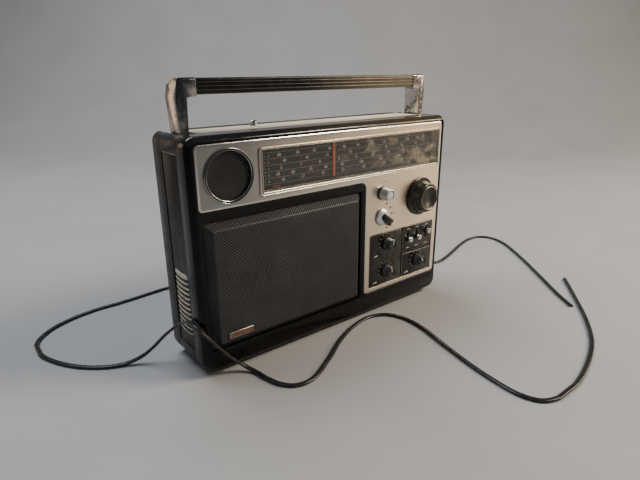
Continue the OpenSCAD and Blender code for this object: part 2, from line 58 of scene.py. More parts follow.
def P(x, y, z):
    """A point given in mm from the front plane, in metres in the frame."""
    return Vector((x * MM, (y + YO) * MM, z * MM))


# ------------------------------------------------------------------ camera
def make_camera():
    yaw, pitch, roll, f_px = 0.672446, 0.325893, -0.007955, 497.993
    f = Vector((math.sin(yaw) * math.cos(pitch), math.cos(yaw) * math.cos(pitch), -math.sin(pitch)))
    r = Vector((math.cos(yaw), -math.sin(yaw), 0))
    u = r.cross(f)
    r2 = r * math.cos(roll) + u * math.sin(roll)
    u2 = -r * math.sin(roll) + u * math.cos(roll)
    cam = bpy.data.cameras.new("camera")
    cam.sensor_width = 36.0
    cam.lens = f_px * 36.0 / 640.0
    cam.clip_start = 0.02
    ob = bpy.data.objects.new("camera", cam)
    m = Matrix((r2, u2, -f)).transposed().to_4x4()
    m.translation = Vector((-0.34028, (-394.302 + YO) * MM, 0.28266))
    ob.matrix_world = m
    scene.collection.objects.link(ob)
    scene.camera = ob


make_camera()


# --------------------------------------------------------------- materials
class Nodes:
    def __init__(self, name):
        self.m = bpy.data.materials.new(name)
        self.m.use_nodes = True
        self.t = self.m.node_tree
        self.b = self.t.nodes["Principled BSDF"]
        self.co = self.t.nodes.new("ShaderNodeTexCoord").outputs["Object"]

    def link(self, a, b):
        self.t.links.new(a, b)

    def mapped(self, scale):
        n = self.t.nodes.new("ShaderNodeMapping")
        n.inputs["Scale"].default_value = scale
        self.link(self.co, n.inputs["Vector"])
        return n.outputs["Vector"]

    def noise(self, scale, detail=3.0, rough=0.5, vec=None, distortion=0.0):
        n = self.t.nodes.new("ShaderNodeTexNoise")
        n.inputs["Scale"].default_value = scale
        n.inputs["Detail"].default_value = detail
        n.inputs["Roughness"].default_value = rough
        n.inputs["Distortion"].default_value = distortion
        self.link(vec or self.co, n.inputs["Vector"])
        return n.outputs["Fac"]

    def ramp(self, fac, a, b, ca=(0, 0, 0, 1), cb=(1, 1, 1, 1)):
        n = self.t.nodes.new("ShaderNodeValToRGB")
        n.color_ramp.elements[0].position = a
        n.color_ramp.elements[0].color = ca
        n.color_ramp.elements[1].position = b
        n.color_ramp.elements[1].color = cb
        self.link(fac, n.inputs["Fac"])
        return n.outputs["Color"]

    def rng(self, fac, lo, hi, a=0.3, b=0.7):
        n = self.t.nodes.new("ShaderNodeMapRange")
        n.inputs["From Min"].default_value = a
        n.inputs["From Max"].default_value = b
        n.inputs["To Min"].default_value = lo
        n.inputs["To Max"].default_value = hi
        self.link(fac, n.inputs["Value"])
        return n.outputs["Result"]

    def mix(self, fac, a, b, blend="MIX"):
        n = self.t.nodes.new("ShaderNodeMix")
        n.data_type = "RGBA"
        n.blend_type = blend
        for s, v in (("Factor", fac), ("A", a), ("B", b)):
            sock = [i for i in n.inputs if i.name == s and i.type == ("VALUE" if s == "Factor" else "RGBA")][0]
            if hasattr(v, "is_linked") or isinstance(v, bpy.types.NodeSocket):
                self.link(v, sock)
            elif s == "Factor":
                sock.default_value = v
            else:
                sock.default_value = (*v[:3], 1)
        return [o for o in n.outputs if o.type == "RGBA"][0]

    def math(self, op, a, b):
        n = self.t.nodes.new("ShaderNodeMath")
        n.operation = op
        for i, v in enumerate((a, b)):
            if isinstance(v, bpy.types.NodeSocket):
                self.link(v, n.inputs[i])
            else:
                n.inputs[i].default_value = v
        return n.outputs[0]

    def bump(self, height, strength, dist, normal=None):
        n = self.t.nodes.new("ShaderNodeBump")
        n.inputs["Strength"].default_value = strength
        n.inputs["Distance"].default_value = dist
        self.link(height, n.inputs["Height"])
        if normal is not None:
            self.link(normal, n.inputs["Normal"])
        return n.outputs["Normal"]


def scaled(c, k):
    return tuple(min(1.0, max(0.0, v * k)) for v in c)


def pbr(name, base, rough, metal=0.0, var=0.12, vscale=45.0, rvar=0.12, rscale=90.0, bump=0.15, bscale=900.0,
        bdist=0.0001, coat=0.0, stretch=None, dust=0.0, dust_col=(0.42, 0.39, 0.34), wear=0.0,
        wear_col=(0.5, 0.48, 0.45), ior=1.5, wear_at=(0.54, 0.60), spots=0.0, spot_col=(0.2, 0.15, 0.1), spec=0.5, painted_warm_sheen=None):
    """A procedural surface: random colour and roughness variation, fine grain, dust specks, worn edges and an optional
    painted warm sheen towards the right.
    """
    n = Nodes(name)
    vec = n.mapped(stretch) if stretch else n.co
    colour = n.mix(n.ramp(n.noise(vscale, 5, 0.6), 0.32, 0.68), scaled(base, 1 - var), scaled(base, 1 + var))
    if painted_warm_sheen:
        # painted light: the colour shifts from the left-hand tone to the warm right-hand tone, a painted sheen standing
        # in for the warm key light on the right
        sx = n.t.nodes.new("ShaderNodeSeparateXYZ")
        n.link(n.co, sx.inputs[0])
        f = n.rng(n.math("ADD", sx.outputs["X"], n.math("MULTIPLY", n.noise(5.0, 3), 0.05)), 0.0, 1.0, painted_warm_sheen[0], painted_warm_sheen[1])
        colour = n.mix(f, colour, painted_warm_sheen[2])
    if spots:
        s = n.ramp(n.noise(260.0, 6, 0.65), 0.60, 0.70)
        colour = n.mix(n.math("MULTIPLY", s, spots), colour, spot_col)
    rough_out = n.rng(n.noise(rscale, 6, 0.62, vec=vec), max(0.02, rough - rvar), min(1.0, rough + rvar))
    if wear:
        g = n.t.nodes.new("ShaderNodeNewGeometry").outputs["Pointiness"]
        e = n.ramp(g, wear_at[0], wear_at[1])
        e = n.math("MULTIPLY", e, n.rng(n.noise(150.0, 4), 0.2, 1.0))
        colour = n.mix(n.math("MULTIPLY", e, wear), colour, wear_col)
    if dust:
        d = n.ramp(n.noise(1300.0, 2, 0.6), 0.64, 0.72)
        big = n.ramp(n.noise(60.0, 5, 0.7), 0.45, 0.75)
        f = n.math("MULTIPLY", n.math("ADD", n.math("MULTIPLY", d, 0.75), n.math("MULTIPLY", big, 0.22)), dust)
        colour = n.mix(f, colour, dust_col)
        rough_out = n.math("ADD", rough_out, n.math("MULTIPLY", f, 0.5))
    n.link(colour, n.b.inputs["Base Color"])
    n.link(rough_out, n.b.inputs["Roughness"])
    n.b.inputs["Metallic"].default_value = metal
    n.b.inputs["IOR"].default_value = ior
    n.b.inputs["Specular IOR Level"].default_value = spec
    if coat:
        n.b.inputs["Coat Weight"].default_value = coat
        n.b.inputs["Coat Roughness"].default_value = 0.12
    n.link(n.bump(n.noise(bscale, 3, 0.55, vec=vec), bump, bdist), n.b.inputs["Normal"])
    return n.m


MAT = {}
MAT["case"] = pbr("case_black", (0.0038, 0.0037, 0.0037), 0.24, var=0.2, vscale=30, rvar=0.08, rscale=70, bump=0.08, bscale=700,
                  bdist=0.00005, dust=0.022, wear=0.06, wear_col=(0.14, 0.13, 0.12), ior=1.45, spec=0.24)
# painted sheen: the rim top's colour warms towards the right, standing in for the warm light reflected there
MAT["case_top_painted_sheen"] = pbr("case_top_painted_sheen", (0.0045, 0.0042, 0.004), 0.16, var=0.2, vscale=30, rvar=0.07, rscale=70, bump=0.06, bscale=700,
                      bdist=0.00004, dust=0.04, ior=1.55, spec=0.62, painted_warm_sheen=(-0.06, 0.06, (0.050, 0.038, 0.021)))
MAT["side"] = pbr("side_black", (0.013, 0.0125, 0.012), 0.42, var=0.2, rvar=0.1, bump=0.35, bscale=1600, bdist=0.00010, dust=0.07,
                  wear=0.30, wear_col=(0.32, 0.29, 0.24), spec=0.42)
# painted reflection: the plate's colour brightens from grey to warm tan towards the right, standing in for the warm key
# light reflected there
MAT["alu"] = pbr("brushed_plate_painted_reflection", (0.30, 0.30, 0.30), 0.34, metal=1.0, var=0.06, vscale=20, rvar=0.07, rscale=60, bump=0.10,
                 bscale=260, bdist=0.00003, stretch=(0.25, 6.0, 14.0), dust=0.04, spots=0.10, painted_warm_sheen=(-0.10, 0.165, (0.96, 0.80, 0.60)))
# painted highlight: the strip's colour brightens to pale cream towards the right, standing in for the warm light
# falling there
MAT["top_strip_painted_highlight"] = pbr("top_strip_painted_highlight", (0.62, 0.58, 0.49), 0.46, metal=0.0, var=0.1, vscale=60, rvar=0.1, bump=0.1, bscale=300,
                       bdist=0.00003, stretch=(0.25, 14.0, 6.0), dust=0.15, painted_warm_sheen=(-0.12, 0.08, (1.0, 0.91, 0.68)))
MAT["alu_edge"] = pbr("polished_edge", (0.66, 0.63, 0.58), 0.20, metal=1.0, var=0.04, rvar=0.05, bump=0.05)
MAT["trim_groove"] = pbr("trim_groove", (0.40, 0.37, 0.32), 0.35, metal=1.0, var=0.1, rvar=0.08, bump=0.1, dust=0.15)
MAT["chrome"] = pbr("chrome", (0.74, 0.73, 0.71), 0.10, metal=1.0, var=0.05, rvar=0.06, rscale=200, bump=0.04)
MAT["chrome_worn"] = pbr("worn_chrome", (0.54, 0.50, 0.45), 0.20, metal=1.0, var=0.10, vscale=120, rvar=0.12, rscale=300, bump=0.25,
                         bscale=420, bdist=0.00008, spots=0.5, spot_col=(0.30, 0.25, 0.20), wear=0.3, wear_col=(0.8, 0.78, 0.74))
MAT["grille"] = pbr("grille_black", (0.088, 0.091, 0.096), 0.44, metal=0.25, var=0.2, vscale=25, rvar=0.1, bump=0.2, bscale=1500,
                    dust=0.06)
# painted highlight: a pale tan skin for the louvre lips and the panel's top edge, standing in for light catching them;
# the dust in it is real
MAT["lip"] = pbr("lip_painted_highlight", (0.62, 0.57, 0.47), 0.30, metal=0.3, var=0.35, vscale=160, rvar=0.1, bump=0.2, bscale=700, dust=0.3)
# painted reflection: a dark slate copy of the chrome for arm faces that mirror dark surroundings or lie in shadow
MAT["arm_painted_dark_reflection"] = pbr("arm_painted_dark_reflection", (0.060, 0.068, 0.074), 0.24, metal=0.9, var=0.25, vscale=160, rvar=0.1, rscale=300, bump=0.25, bscale=600, dust=0.12, wear=0.6, wear_col=(0.7, 0.7, 0.68))
MAT["mesh_dark"] = pbr("mesh_dark", (0.060, 0.062, 0.066), 0.36, var=0.2, vscale=25, rvar=0.1, bump=0.2, dust=0.01, spec=0.3)
# painted sheen: a lighter slate copy of the black knob material for the ribbed sides, standing in for the light they
# catch
MAT["knob_side_painted_sheen"] = pbr("knob_side_painted_sheen", (0.16, 0.185, 0.185), 0.30, metal=0.6, var=0.2, vscale=120, rvar=0.1, bump=0.1, bscale=700, dust=0.10,
                        wear=0.3, wear_col=(0.3, 0.3, 0.29))
# painted sheen: a lighter slate copy of the black knob material for the tuning knob's facets, standing in for the light
# on them
MAT["tuning_side_painted_sheen"] = pbr("tuning_side_painted_sheen", (0.050, 0.057, 0.055), 0.28, metal=0.5, var=0.25, vscale=90, rvar=0.1, bump=0.1, bscale=700, dust=0.10)
MAT["disc_brown"] = pbr("disc_brown", (0.016, 0.014, 0.011), 0.40, metal=0.1, var=0.2, vscale=60, rvar=0.08, bump=0.1, dust=0.06)
MAT["ring_metal"] = pbr("ring_metal", (0.42, 0.42, 0.41), 0.24, metal=1.0, var=0.1, rvar=0.06, bump=0.05)
MAT["trim_metal"] = pbr("trim_metal", (0.56, 0.51, 0.43), 0.24, metal=1.0, var=0.06, rvar=0.06, bump=0.05)
MAT["tan_ring"] = pbr("tan_ring", (0.55, 0.46, 0.33), 0.28, metal=1.0, var=0.1, rvar=0.08, bump=0.1)
MAT["dark"] = pbr("inner_black", (0.006, 0.006, 0.006), 0.7, var=0.2, bump=0.1)
MAT["panel"] = pbr("panel_black", (0.010, 0.0095, 0.009), 0.28, var=0.35, vscale=60, rvar=0.12, rscale=120, bump=0.1, bscale=500,
                   dust=0.20, dust_col=(0.33, 0.28, 0.20), spec=0.4)
MAT["knob"] = pbr("knob_black", (0.008, 0.0083, 0.0085), 0.24, var=0.2, rvar=0.08, bump=0.1, bscale=900, dust=0.05, wear=0.25,
                  wear_col=(0.2, 0.19, 0.18))
MAT["knob_silver"] = pbr("knob_silver", (0.74, 0.77, 0.77), 0.32, metal=0.7, var=0.05, rvar=0.06, bump=0.12, bscale=500,
                         bdist=0.00003, spots=0.12)
# painted sheen: the grip's colour warms towards the right, standing in for the key light's highlight there; the dust
# colour is real dust
MAT["grip"] = pbr("grip_black", (0.0075, 0.0075, 0.0075), 0.25, var=0.3, vscale=70, rvar=0.08, bump=0.04, bscale=1100, dust=0.03,
                  dust_col=(0.35, 0.29, 0.2), spec=0.22, painted_warm_sheen=(0.0, 0.13, (0.15, 0.128, 0.092)))
# painted highlight: pale grey for the lit crests of the grip's ridges, warming towards the right
MAT["grip_ridge_painted_highlight"] = pbr("grip_ridge_painted_highlight", (0.13, 0.128, 0.124), 0.30, metal=0.3, var=0.3, vscale=120, rvar=0.1, bump=0.2, dust=0.1, painted_warm_sheen=(-0.02, 0.13, (0.50, 0.43, 0.31)))
MAT["dial_black"] = pbr("dial_black", (0.008, 0.0078, 0.0075), 0.5, var=0.25, bump=0.05, dust=0.03, spec=0.3)
MAT["ink_line"] = pbr("ink_line", (0.36, 0.34, 0.30), 0.55, var=0.2, vscale=200, bump=0.05)
MAT["ink_pale"] = pbr("ink_pale", (0.86, 0.82, 0.74), 0.55, var=0.12, vscale=200, bump=0.05)
MAT["ink_red"] = pbr("ink_red", (0.55, 0.07, 0.03), 0.5, var=0.15, vscale=200, bump=0.05)
MAT["dial_pale"] = pbr("dial_pale", (0.50, 0.46, 0.37), 0.5, var=0.1, bump=0.1)
MAT["pointer"] = pbr("pointer_red", (0.72, 0.13, 0.03), 0.32, var=0.15, vscale=150, bump=0.06)
MAT["steel"] = pbr("zinc_steel", (0.50, 0.50, 0.49), 0.36, metal=1.0, var=0.12, vscale=60, rvar=0.12, bump=0.12, bscale=600,
                   spots=0.2)
MAT["board"] = pbr("phenolic_board", (0.24, 0.15, 0.06), 0.5, var=0.2, bump=0.2)
MAT["iron"] = pbr("laminated_iron", (0.16, 0.13, 0.10), 0.5, metal=0.6, var=0.3, bump=0.5, bscale=700, stretch=(0.2, 12, 0.2))
MAT["ferrite"] = pbr("ferrite", (0.045, 0.04, 0.038), 0.45, var=0.2, bump=0.3)
MAT["cone"] = pbr("paper_cone", (0.022, 0.020, 0.018), 0.85, var=0.3, bump=0.5, bscale=500, bdist=0.0003)
MAT["cell"] = pbr("cell_jacket", (0.05, 0.10, 0.24), 0.3, metal=0.4, var=0.1, bump=0.05)
MAT["foot"] = pbr("foot_rubber", (0.018, 0.018, 0.018), 0.72, var=0.25, bump=0.4, bscale=1200, dust=0.3)
MAT["flex"] = pbr("flex_black", (0.016, 0.0165, 0.017), 0.28, var=0.3, vscale=80, rvar=0.10, rscale=140, bump=0.25, bscale=350,
                  bdist=0.00012, dust=0.15)
MAT["copper"] = pbr("bare_copper", (0.72, 0.36, 0.18), 0.3, metal=1.0, var=0.15, bump=0.2)
MAT["coil"] = pbr("coil_wire", (0.40, 0.20, 0.06), 0.35, metal=0.8, var=0.15, bump=0.8, bscale=900, stretch=(3, 0.1, 0.1))
MAT["badge"] = pbr("badge_silver", (0.30, 0.28, 0.25), 0.3, metal=1.0, var=0.1, bump=0.15, dust=0.2)
MAT["badge_inlay"] = pbr("badge_inlay", (0.20, 0.090, 0.060), 0.38, metal=0.3, var=0.35, vscale=500, bump=0.3, bscale=900)


def glass_mat():
    """Clear acrylic with a mottled film of dust that thickens towards the right."""
    n = Nodes("clear_window")
    b = n.b
    b.inputs["Base Color"].default_value = (0.97, 0.98, 0.98, 1)
    b.inputs["Transmission Weight"].default_value = 1.0
    b.inputs["IOR"].default_value = 1.36
    n.link(n.rng(n.noise(70, 6, 0.65), 0.01, 0.07), b.inputs["Roughness"])
    n.link(n.bump(n.noise(25, 2), 0.05, 0.0002), b.inputs["Normal"])
    film = n.t.nodes.new("ShaderNodeBsdfDiffuse")
    n.link(n.mix(n.ramp(n.noise(300, 4), 0.4, 0.6), (0.50, 0.42, 0.30), (0.66, 0.58, 0.44)), film.inputs["Color"])
    sep = n.t.nodes.new("ShaderNodeSeparateXYZ")
    n.link(n.co, sep.inputs[0])
    grad = n.rng(sep.outputs["X"], 0.02, 0.42, -0.02, 0.155)
    blot = n.ramp(n.noise(56, 6, 0.66, vec=n.mapped((1.0, 1.0, 1.3))), 0.50, 0.63)
    f = n.math("MULTIPLY", grad, blot)
    sh = n.t.nodes.new("ShaderNodeMixShader")
    n.link(f, sh.inputs[0])
    n.link(b.outputs[0], sh.inputs[1])
    n.link(film.outputs[0], sh.inputs[2])
    out = [x for x in n.t.nodes if x.type == "OUTPUT_MATERIAL"][0]
    n.link(sh.outputs[0], out.inputs["Surface"])
    return n.m


MAT["lens"] = glass_mat()


# ------------------------------------------------------------- mesh helpers
def make(name, verts, faces, mats, body, node=None, idx=None, sharp=32.0, metres=False):
    """A mesh piece that rides on a body; verts are mm from the front plane unless metres."""
    me = bpy.data.meshes.new(name)
    me.from_pydata([tuple(v) if metres else tuple(P(*v)) for v in verts], [], faces)
    me.validate()
    for m in mats if isinstance(mats, (list, tuple)) else [mats]:
        me.materials.append(m)
    if idx is not None and len(idx) == len(me.polygons):
        me.polygons.foreach_set("material_index", idx)
    finish_mesh(me, sharp)
    return place(name, me, body, node)


def finish_mesh(me, sharp=32.0):
    bm = bmesh.new()
    bm.from_mesh(me)
    bmesh.ops.remove_doubles(bm, verts=bm.verts, dist=1e-6)
    bmesh.ops.dissolve_degenerate(bm, edges=bm.edges, dist=1e-7)
    bmesh.ops.recalc_face_normals(bm, faces=bm.faces)
    bm.to_mesh(me)
    bm.free()
    me.polygons.foreach_set("use_smooth", [True] * len(me.polygons))
    me.set_sharp_from_angle(angle=math.radians(sharp))
    me.update()


def place(name, me, body, node=None):
    ob = bpy.data.objects.new(name, me)
    scene.collection.objects.link(ob)
    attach(ob, body)
    if node:
        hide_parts(*([node] if isinstance(node, str) else node))
    return ob


class Build:
    """Collects faces in mm from the front plane, each with a material index."""
    def __init__(self):
        self.v, self.f, self.i = [], [], []

    def add(self, verts, faces, mi=0):
        o = len(self.v)
        self.v += [tuple(p) for p in verts]
        self.f += [tuple(o + k for k in f) for f in faces]
        self.i += [mi] * len(faces)

    def loft(self, loops, mi=0, closed=True, cap0=False, cap1=False):
        n = len(loops[0])
        vs = [p for l in loops for p in l]
        fs = []
        for a in range(len(loops) - 1):
            for k in range(n if closed else n - 1):
                k2 = (k + 1) % n
                fs.append((a * n + k, a * n + k2, (a + 1) * n + k2, (a + 1) * n + k))
        if cap0:
            fs.append(tuple(range(n - 1, -1, -1)))
        if cap1:
            fs.append(tuple((len(loops) - 1) * n + k for k in range(n)))
        self.add(vs, fs, mi)

    def fill(self, loops3, mi=0):
        """Flat fill of an outer loop and its holes, all 3D points in one plane."""
        tri = tessellate_polygon([[Vector(p) for p in l] for l in loops3])
        flat = [p for l in loops3 for p in l]
        self.add(flat, [tuple(t) for t in tri], mi)

    def lathe(self, c, prof, n=64, mi=0, mod=None, a0=0.0, cap0=True, cap1=True):
        """Turned shape about the Y axis through c = (x, z); prof is [(r, y), ...]."""
        loops = []
        for k, (r, y) in enumerate(prof):
            l = []
            for j in range(n):
                a = a0 + 2 * math.pi * j / n
                rr = r * (1 + (mod(a, k) if mod else 0))
                l.append((c[0] + rr * math.cos(a), y, c[1] + rr * math.sin(a)))
            loops.append(l)
        self.loft(loops, mi, cap0=cap0, cap1=cap1)

    def prism(self, prof2, x0, x1, mi=0):
        """Extrudes a [y, z] outline along X."""
        self.loft([[(x0, y, z) for y, z in prof2], [(x1, y, z) for y, z in prof2]], mi, cap0=True, cap1=True)

    def box(self, a, b, mi=0, r=0.0):
        xs, zs = (a[0], b[0]), (a[2], b[2])
        l = lambda y, i: [(xs[0] + i, y, zs[0] + i), (xs[1] - i, y, zs[0] + i), (xs[1] - i, y, zs[1] - i), (xs[0] + i, y, zs[1] - i)]
        if r:
            self.loft([l(a[1], r), l(a[1] + r, 0), l(b[1] - r, 0), l(b[1], r)], mi, cap0=True, cap1=True)
        else:
            self.loft([l(a[1], 0), l(b[1], 0)], mi, cap0=True, cap1=True)

    def done(self, name, mats, body, node=None, sharp=32.0):
        return make(name, self.v, self.f, mats, body, node, self.i, sharp)


def arc(cx, cz, r, a0, a1, n):
    return [(cx + r * math.cos(math.radians(a0 + (a1 - a0) * k / n)), cz + r * math.sin(math.radians(a0 + (a1 - a0) * k / n)))
            for k in range(n + 1)]


def rrect(x0, z0, x1, z1, r, n=6, inset=0.0):
    """Rounded rectangle, anticlockwise seen from the front; r is one radius or (bl, br, tr, tl)."""
    rs = [r] * 4 if not isinstance(r, (tuple, list)) else list(r)
    rs = [max(0.05, q - inset) for q in rs]
    x0, z0, x1, z1 = x0 + inset, z0 + inset, x1 - inset, z1 - inset
    return (arc(x0 + rs[0], z0 + rs[0], rs[0], 180, 270, n) + arc(x1 - rs[1], z0 + rs[1], rs[1], 270, 360, n)
            + arc(x1 - rs[2], z1 - rs[2], rs[2], 0, 90, n) + arc(x0 + rs[3], z1 - rs[3], rs[3], 90, 180, n))


def circle(c, r, n=64):
    return [(c[0] + r * math.cos(2 * math.pi * k / n), c[1] + r * math.sin(2 * math.pi * k / n)) for k in range(n)]


def at(loop, y):
    return [(x, y, z) for x, z in loop]


def fillet(pts, radii, n=6):
    """Rounds the corners of a polygon given anticlockwise."""
    out = []
    m = len(pts)
    for i, (p, r) in enumerate(zip(pts, radii)):
        p = Vector(p); a = Vector(pts[i - 1]) - p; b = Vector(pts[(i + 1) % m]) - p
        a.normalize(); b.normalize()
        half = math.acos(max(-1, min(1, a.dot(b)))) / 2
        t = r / math.tan(half)
        c = p + (a + b).normalized() * (r / math.sin(half))
        s, e = p + a * t, p + b * t
        a0 = math.atan2((s - c).y, (s - c).x); a1 = math.atan2((e - c).y, (e - c).x)
        d = (a1 - a0 + math.pi) % (2 * math.pi) - math.pi
        out += [(c.x + r * math.cos(a0 + d * k / n), c.y + r * math.sin(a0 + d * k / n)) for k in range(n + 1)]
    return out


def grow(loop, d):
    """Offsets an anticlockwise loop outwards by d (inwards when negative)."""
    out = []
    n = len(loop)
    for i in range(n):
        a, p, b = Vector(loop[i - 1]), Vector(loop[i]), Vector(loop[(i + 1) % n])
        e1 = p - a; e2 = b - p
        if e1.length < 1e-9: e1 = e2
        if e2.length < 1e-9: e2 = e1
        n1 = Vector((e1.y, -e1.x)).normalized(); n2 = Vector((e2.y, -e2.x)).normalized()
        m = n1 + n2
        if m.length < 1e-6: m = n1
        m.normalize()
        out.append(tuple(p + m * (d / max(0.35, m.dot(n1)))))
    return out


def plate(b, outer, holes, y0, y1, bevel=0.3, mi=0, edge=None, hole_bevel=None, back=True):
    """A flat sheet from y0 (front) to y1 with bevelled front edges; all loops anticlockwise."""
    edge = mi if edge is None else edge
    hb = bevel if hole_bevel is None else hole_bevel
    q = bevel * 0.35
    b.loft([at(outer, y1), at(outer, y0 + bevel), at(grow(outer, -q), y0 + q), at(grow(outer, -bevel), y0)], edge)
    fr = [at(grow(outer, -bevel), y0)]
    bk = [at(outer, y1)]
    for h in holes:
        b.loft([at(grow(h, hb), y0), at(grow(h, hb * 0.35), y0 + hb * 0.35), at(h, y0 + hb), at(h, y1)], edge)
        fr.append(at(grow(h, hb), y0)); bk.append(at(h, y1))
    b.fill(fr, mi)
    if back:
        b.fill(bk, mi)


def refine(node, mats, width=0.4, segs=2, angle=38.0, sharp=32.0, name=None, body=None):
    """A copy of a CAD node with its sharp edges rounded over."""
    src = frame["nodes"][node]
    bm = bmesh.new()
    bm.from_mesh(src.data)
    bmesh.ops.remove_doubles(bm, verts=bm.verts, dist=2e-6)
    bmesh.ops.dissolve_limit(bm, angle_limit=math.radians(0.6), verts=bm.verts, edges=bm.edges)
    me = bpy.data.meshes.new((name or node) + "_m")
    bm.to_mesh(me); bm.free()
    ob = bpy.data.objects.new("tmp", me)
    scene.collection.objects.link(ob)
    md = ob.modifiers.new("b", "BEVEL")
    md.width = width * MM; md.segments = segs; md.limit_method = "ANGLE"; md.angle_limit = math.radians(angle)
    md.use_clamp_overlap = True; md.miter_outer = "MITER_ARC"
    dg = bpy.context.evaluated_depsgraph_get()
    out = bpy.data.meshes.new_from_object(ob.evaluated_get(dg), depsgraph=dg)
    bpy.data.objects.remove(ob)
    for a in ("custom_normal",):
        if a in out.attributes: out.attributes.remove(out.attributes[a])
    out.materials.clear()
    for m in mats if isinstance(mats, (list, tuple)) else [mats]:
        out.materials.append(m)
    out.polygons.foreach_set("material_index", [0] * len(out.polygons))
    out.polygons.foreach_set("use_smooth", [True] * len(out.polygons))
    out.set_sharp_from_angle(angle=math.radians(sharp))
    out.name = name or node + "_piece"
    return place(name or node + "_piece", out, body or BODY[node], node)


BODY = {n: b for b, ns in frame["record"]["behaviour"]["bodies"].items() for n in ns}

# -------------------------------------------------------------------- cords
MAINS = [(30, 69, 24), (30, 85, 22), (28, 105, 14), (22, 128, 5), (9, 152.5, 1.6), (-14, 176.5, 1.6),
         (-43, 193.5, 1.6), (-76, 203.5, 1.6), (-110, 205.5, 1.6), (-145, 202.5, 1.6), (-178, 199.5, 1.6),
         (-209, 198.5, 1.6), (-239, 191.5, 1.6), (-265, 177.5, 1.6), (-283, 154.5, 1.6), (-285, 125.5, 1.6),
         (-274, 96.5, 1.6), (-257, 72.5, 1.6), (-237, 56.5, 1.6), (-219, 48.5, 3), (-205, 42.5, 9), (-194, 36.5, 19),
         (-185, 30.5, 30), (-178, 21.5, 40), (-174, 9.5, 49), (-173.5, -4.5, 55.5), (-173.6, -20.5, 58.5),
         (-170.5, -30.5, 54), (-160, -34, 39), (-147, -34, 22), (-134, -35.5, 8), (-126, -45.5, 2),
         (-123, -62.5, 1.6), (-118, -78.5, 1.6), (-108, -89.5, 1.6), (-91, -91.5, 1.6), (-54, -73.5, 1.6),
         (-22, -53.5, 1.6), (12, -38.5, 1.6), (41, -33.5, 1.6), (62, -41.5, 1.6), (72, -61.5, 1.6), (71, -90.5, 1.6),
         (60, -129.5, 1.6), (49, -171.5, 1.6), (43, -205.5, 1.6), (42, -230.5, 1.6), (49, -247.5, 1.6),
         (66, -255.5, 1.6), (96, -255.5, 1.6), (140, -246.5, 1.6), (188, -229.5, 1.6), (233, -203.5, 1.6),
         (285, -165.5, 1.6), (337, -125.5, 1.6)]
SECOND = [(110, 69, 24), (110, 85, 22), (114, 105, 13), (124, 125, 5), (141, 139.5, 1.6), (165, 141.5, 1.6),
         (187, 124.5, 1.6), (202, 98.5, 1.6), (214, 68.5, 1.6), (229, 43.5, 1.6), (250, 31.5, 1.6), (276, 35.5, 1.6),
         (310, 46.5, 1.6), (345, 58.5, 1.6), (378, 66.5, 1.6), (404, 64.5, 1.6), (417, 48.5, 1.6), (410, 19.5, 1.6),
         (369, -38.5, 1.6), (319, -98.5, 1.6), (278, -146.5, 1.6), (258, -173.5, 1.6)]


def spline(p, per=6):
    """A smooth centripetal curve through the route's points."""
    p = [Vector(q) for q in p]
    q = [p[0] * 2 - p[1]] + p + [p[-1] * 2 - p[-2]]
    out = []
    for i in range(1, len(q) - 2):
        a, b, c, d = q[i - 1:i + 3]
        t0 = 0.0; t1 = t0 + (b - a).length ** 0.5; t2 = t1 + (c - b).length ** 0.5; t3 = t2 + (d - c).length ** 0.5
        for k in range(per):
            t = t1 + (t2 - t1) * k / per
            A1 = a * ((t1 - t) / (t1 - t0)) + b * ((t - t0) / (t1 - t0))
            A2 = b * ((t2 - t) / (t2 - t1)) + c * ((t - t1) / (t2 - t1))
            A3 = c * ((t3 - t) / (t3 - t2)) + d * ((t - t2) / (t3 - t2))
            B1 = A1 * ((t2 - t) / (t2 - t0)) + A2 * ((t - t0) / (t2 - t0))
            B2 = A2 * ((t3 - t) / (t3 - t1)) + A3 * ((t - t1) / (t3 - t1))
            out.append(B1 * ((t2 - t) / (t2 - t1)) + B2 * ((t - t1) / (t2 - t1)))
    out.append(p[-1])
    return out


def flex(name, route, node, gland):
    """A flat twin flex with a groove down each side."""
    pts = spline(route, 8)
    lo, hi = [v / MM for v in cad_box[0]], [v / MM for v in cad_box[1]]
    for q in pts:
        q.x = min(max(q.x, lo[0] + 2.56), hi[0] - 2.56)
        q.y = min(max(q.y, lo[1] + 2.56), hi[1] - 2.56)
        q.z = max(q.z, 1.53)
    W, H = 2.5, 1.5
    sec = []
    for side in (1, -1):
        for k in range(9):
            a = math.radians(-80 + 20 * k) if side > 0 else math.radians(100 + 20 * k)
            r = 1.5
            sec.append((side * (W - r) + r * math.cos(a), (H / 1.5) * r * math.sin(a)))
    sec = [(x, y * (1 - 0.30 * math.exp(-(x / 0.5) ** 2))) for x, y in sec]
    m = len(sec)
    verts, faces = [], []
    n = len(pts)
    for i, p in enumerate(pts):
        d = (pts[min(i + 1, n - 1)] - pts[max(i - 1, 0)]).normalized()
        s = d.cross(Vector((0, 0, 1))).normalized()
        u = s.cross(d)
        for x, y in sec:
            verts.append((p + s * x + u * y) * MM)
    for i in range(n - 1):
        for k in range(m):
            k2 = (k + 1) % m
            faces.append((i * m + k, i * m + k2, (i + 1) * m + k2, (i + 1) * m + k))
    faces.append(tuple(range(m)))
    faces.append(tuple((n - 1) * m + k for k in range(m - 1, -1, -1)))
    ob = make(name, verts, faces, MAT["flex"], "case", node, sharp=50, metres=True)
    length = sum((pts[i + 1] - pts[i]).length for i in range(n - 1)) * MM
    return ob, [tuple(q * MM) for q in pts], length


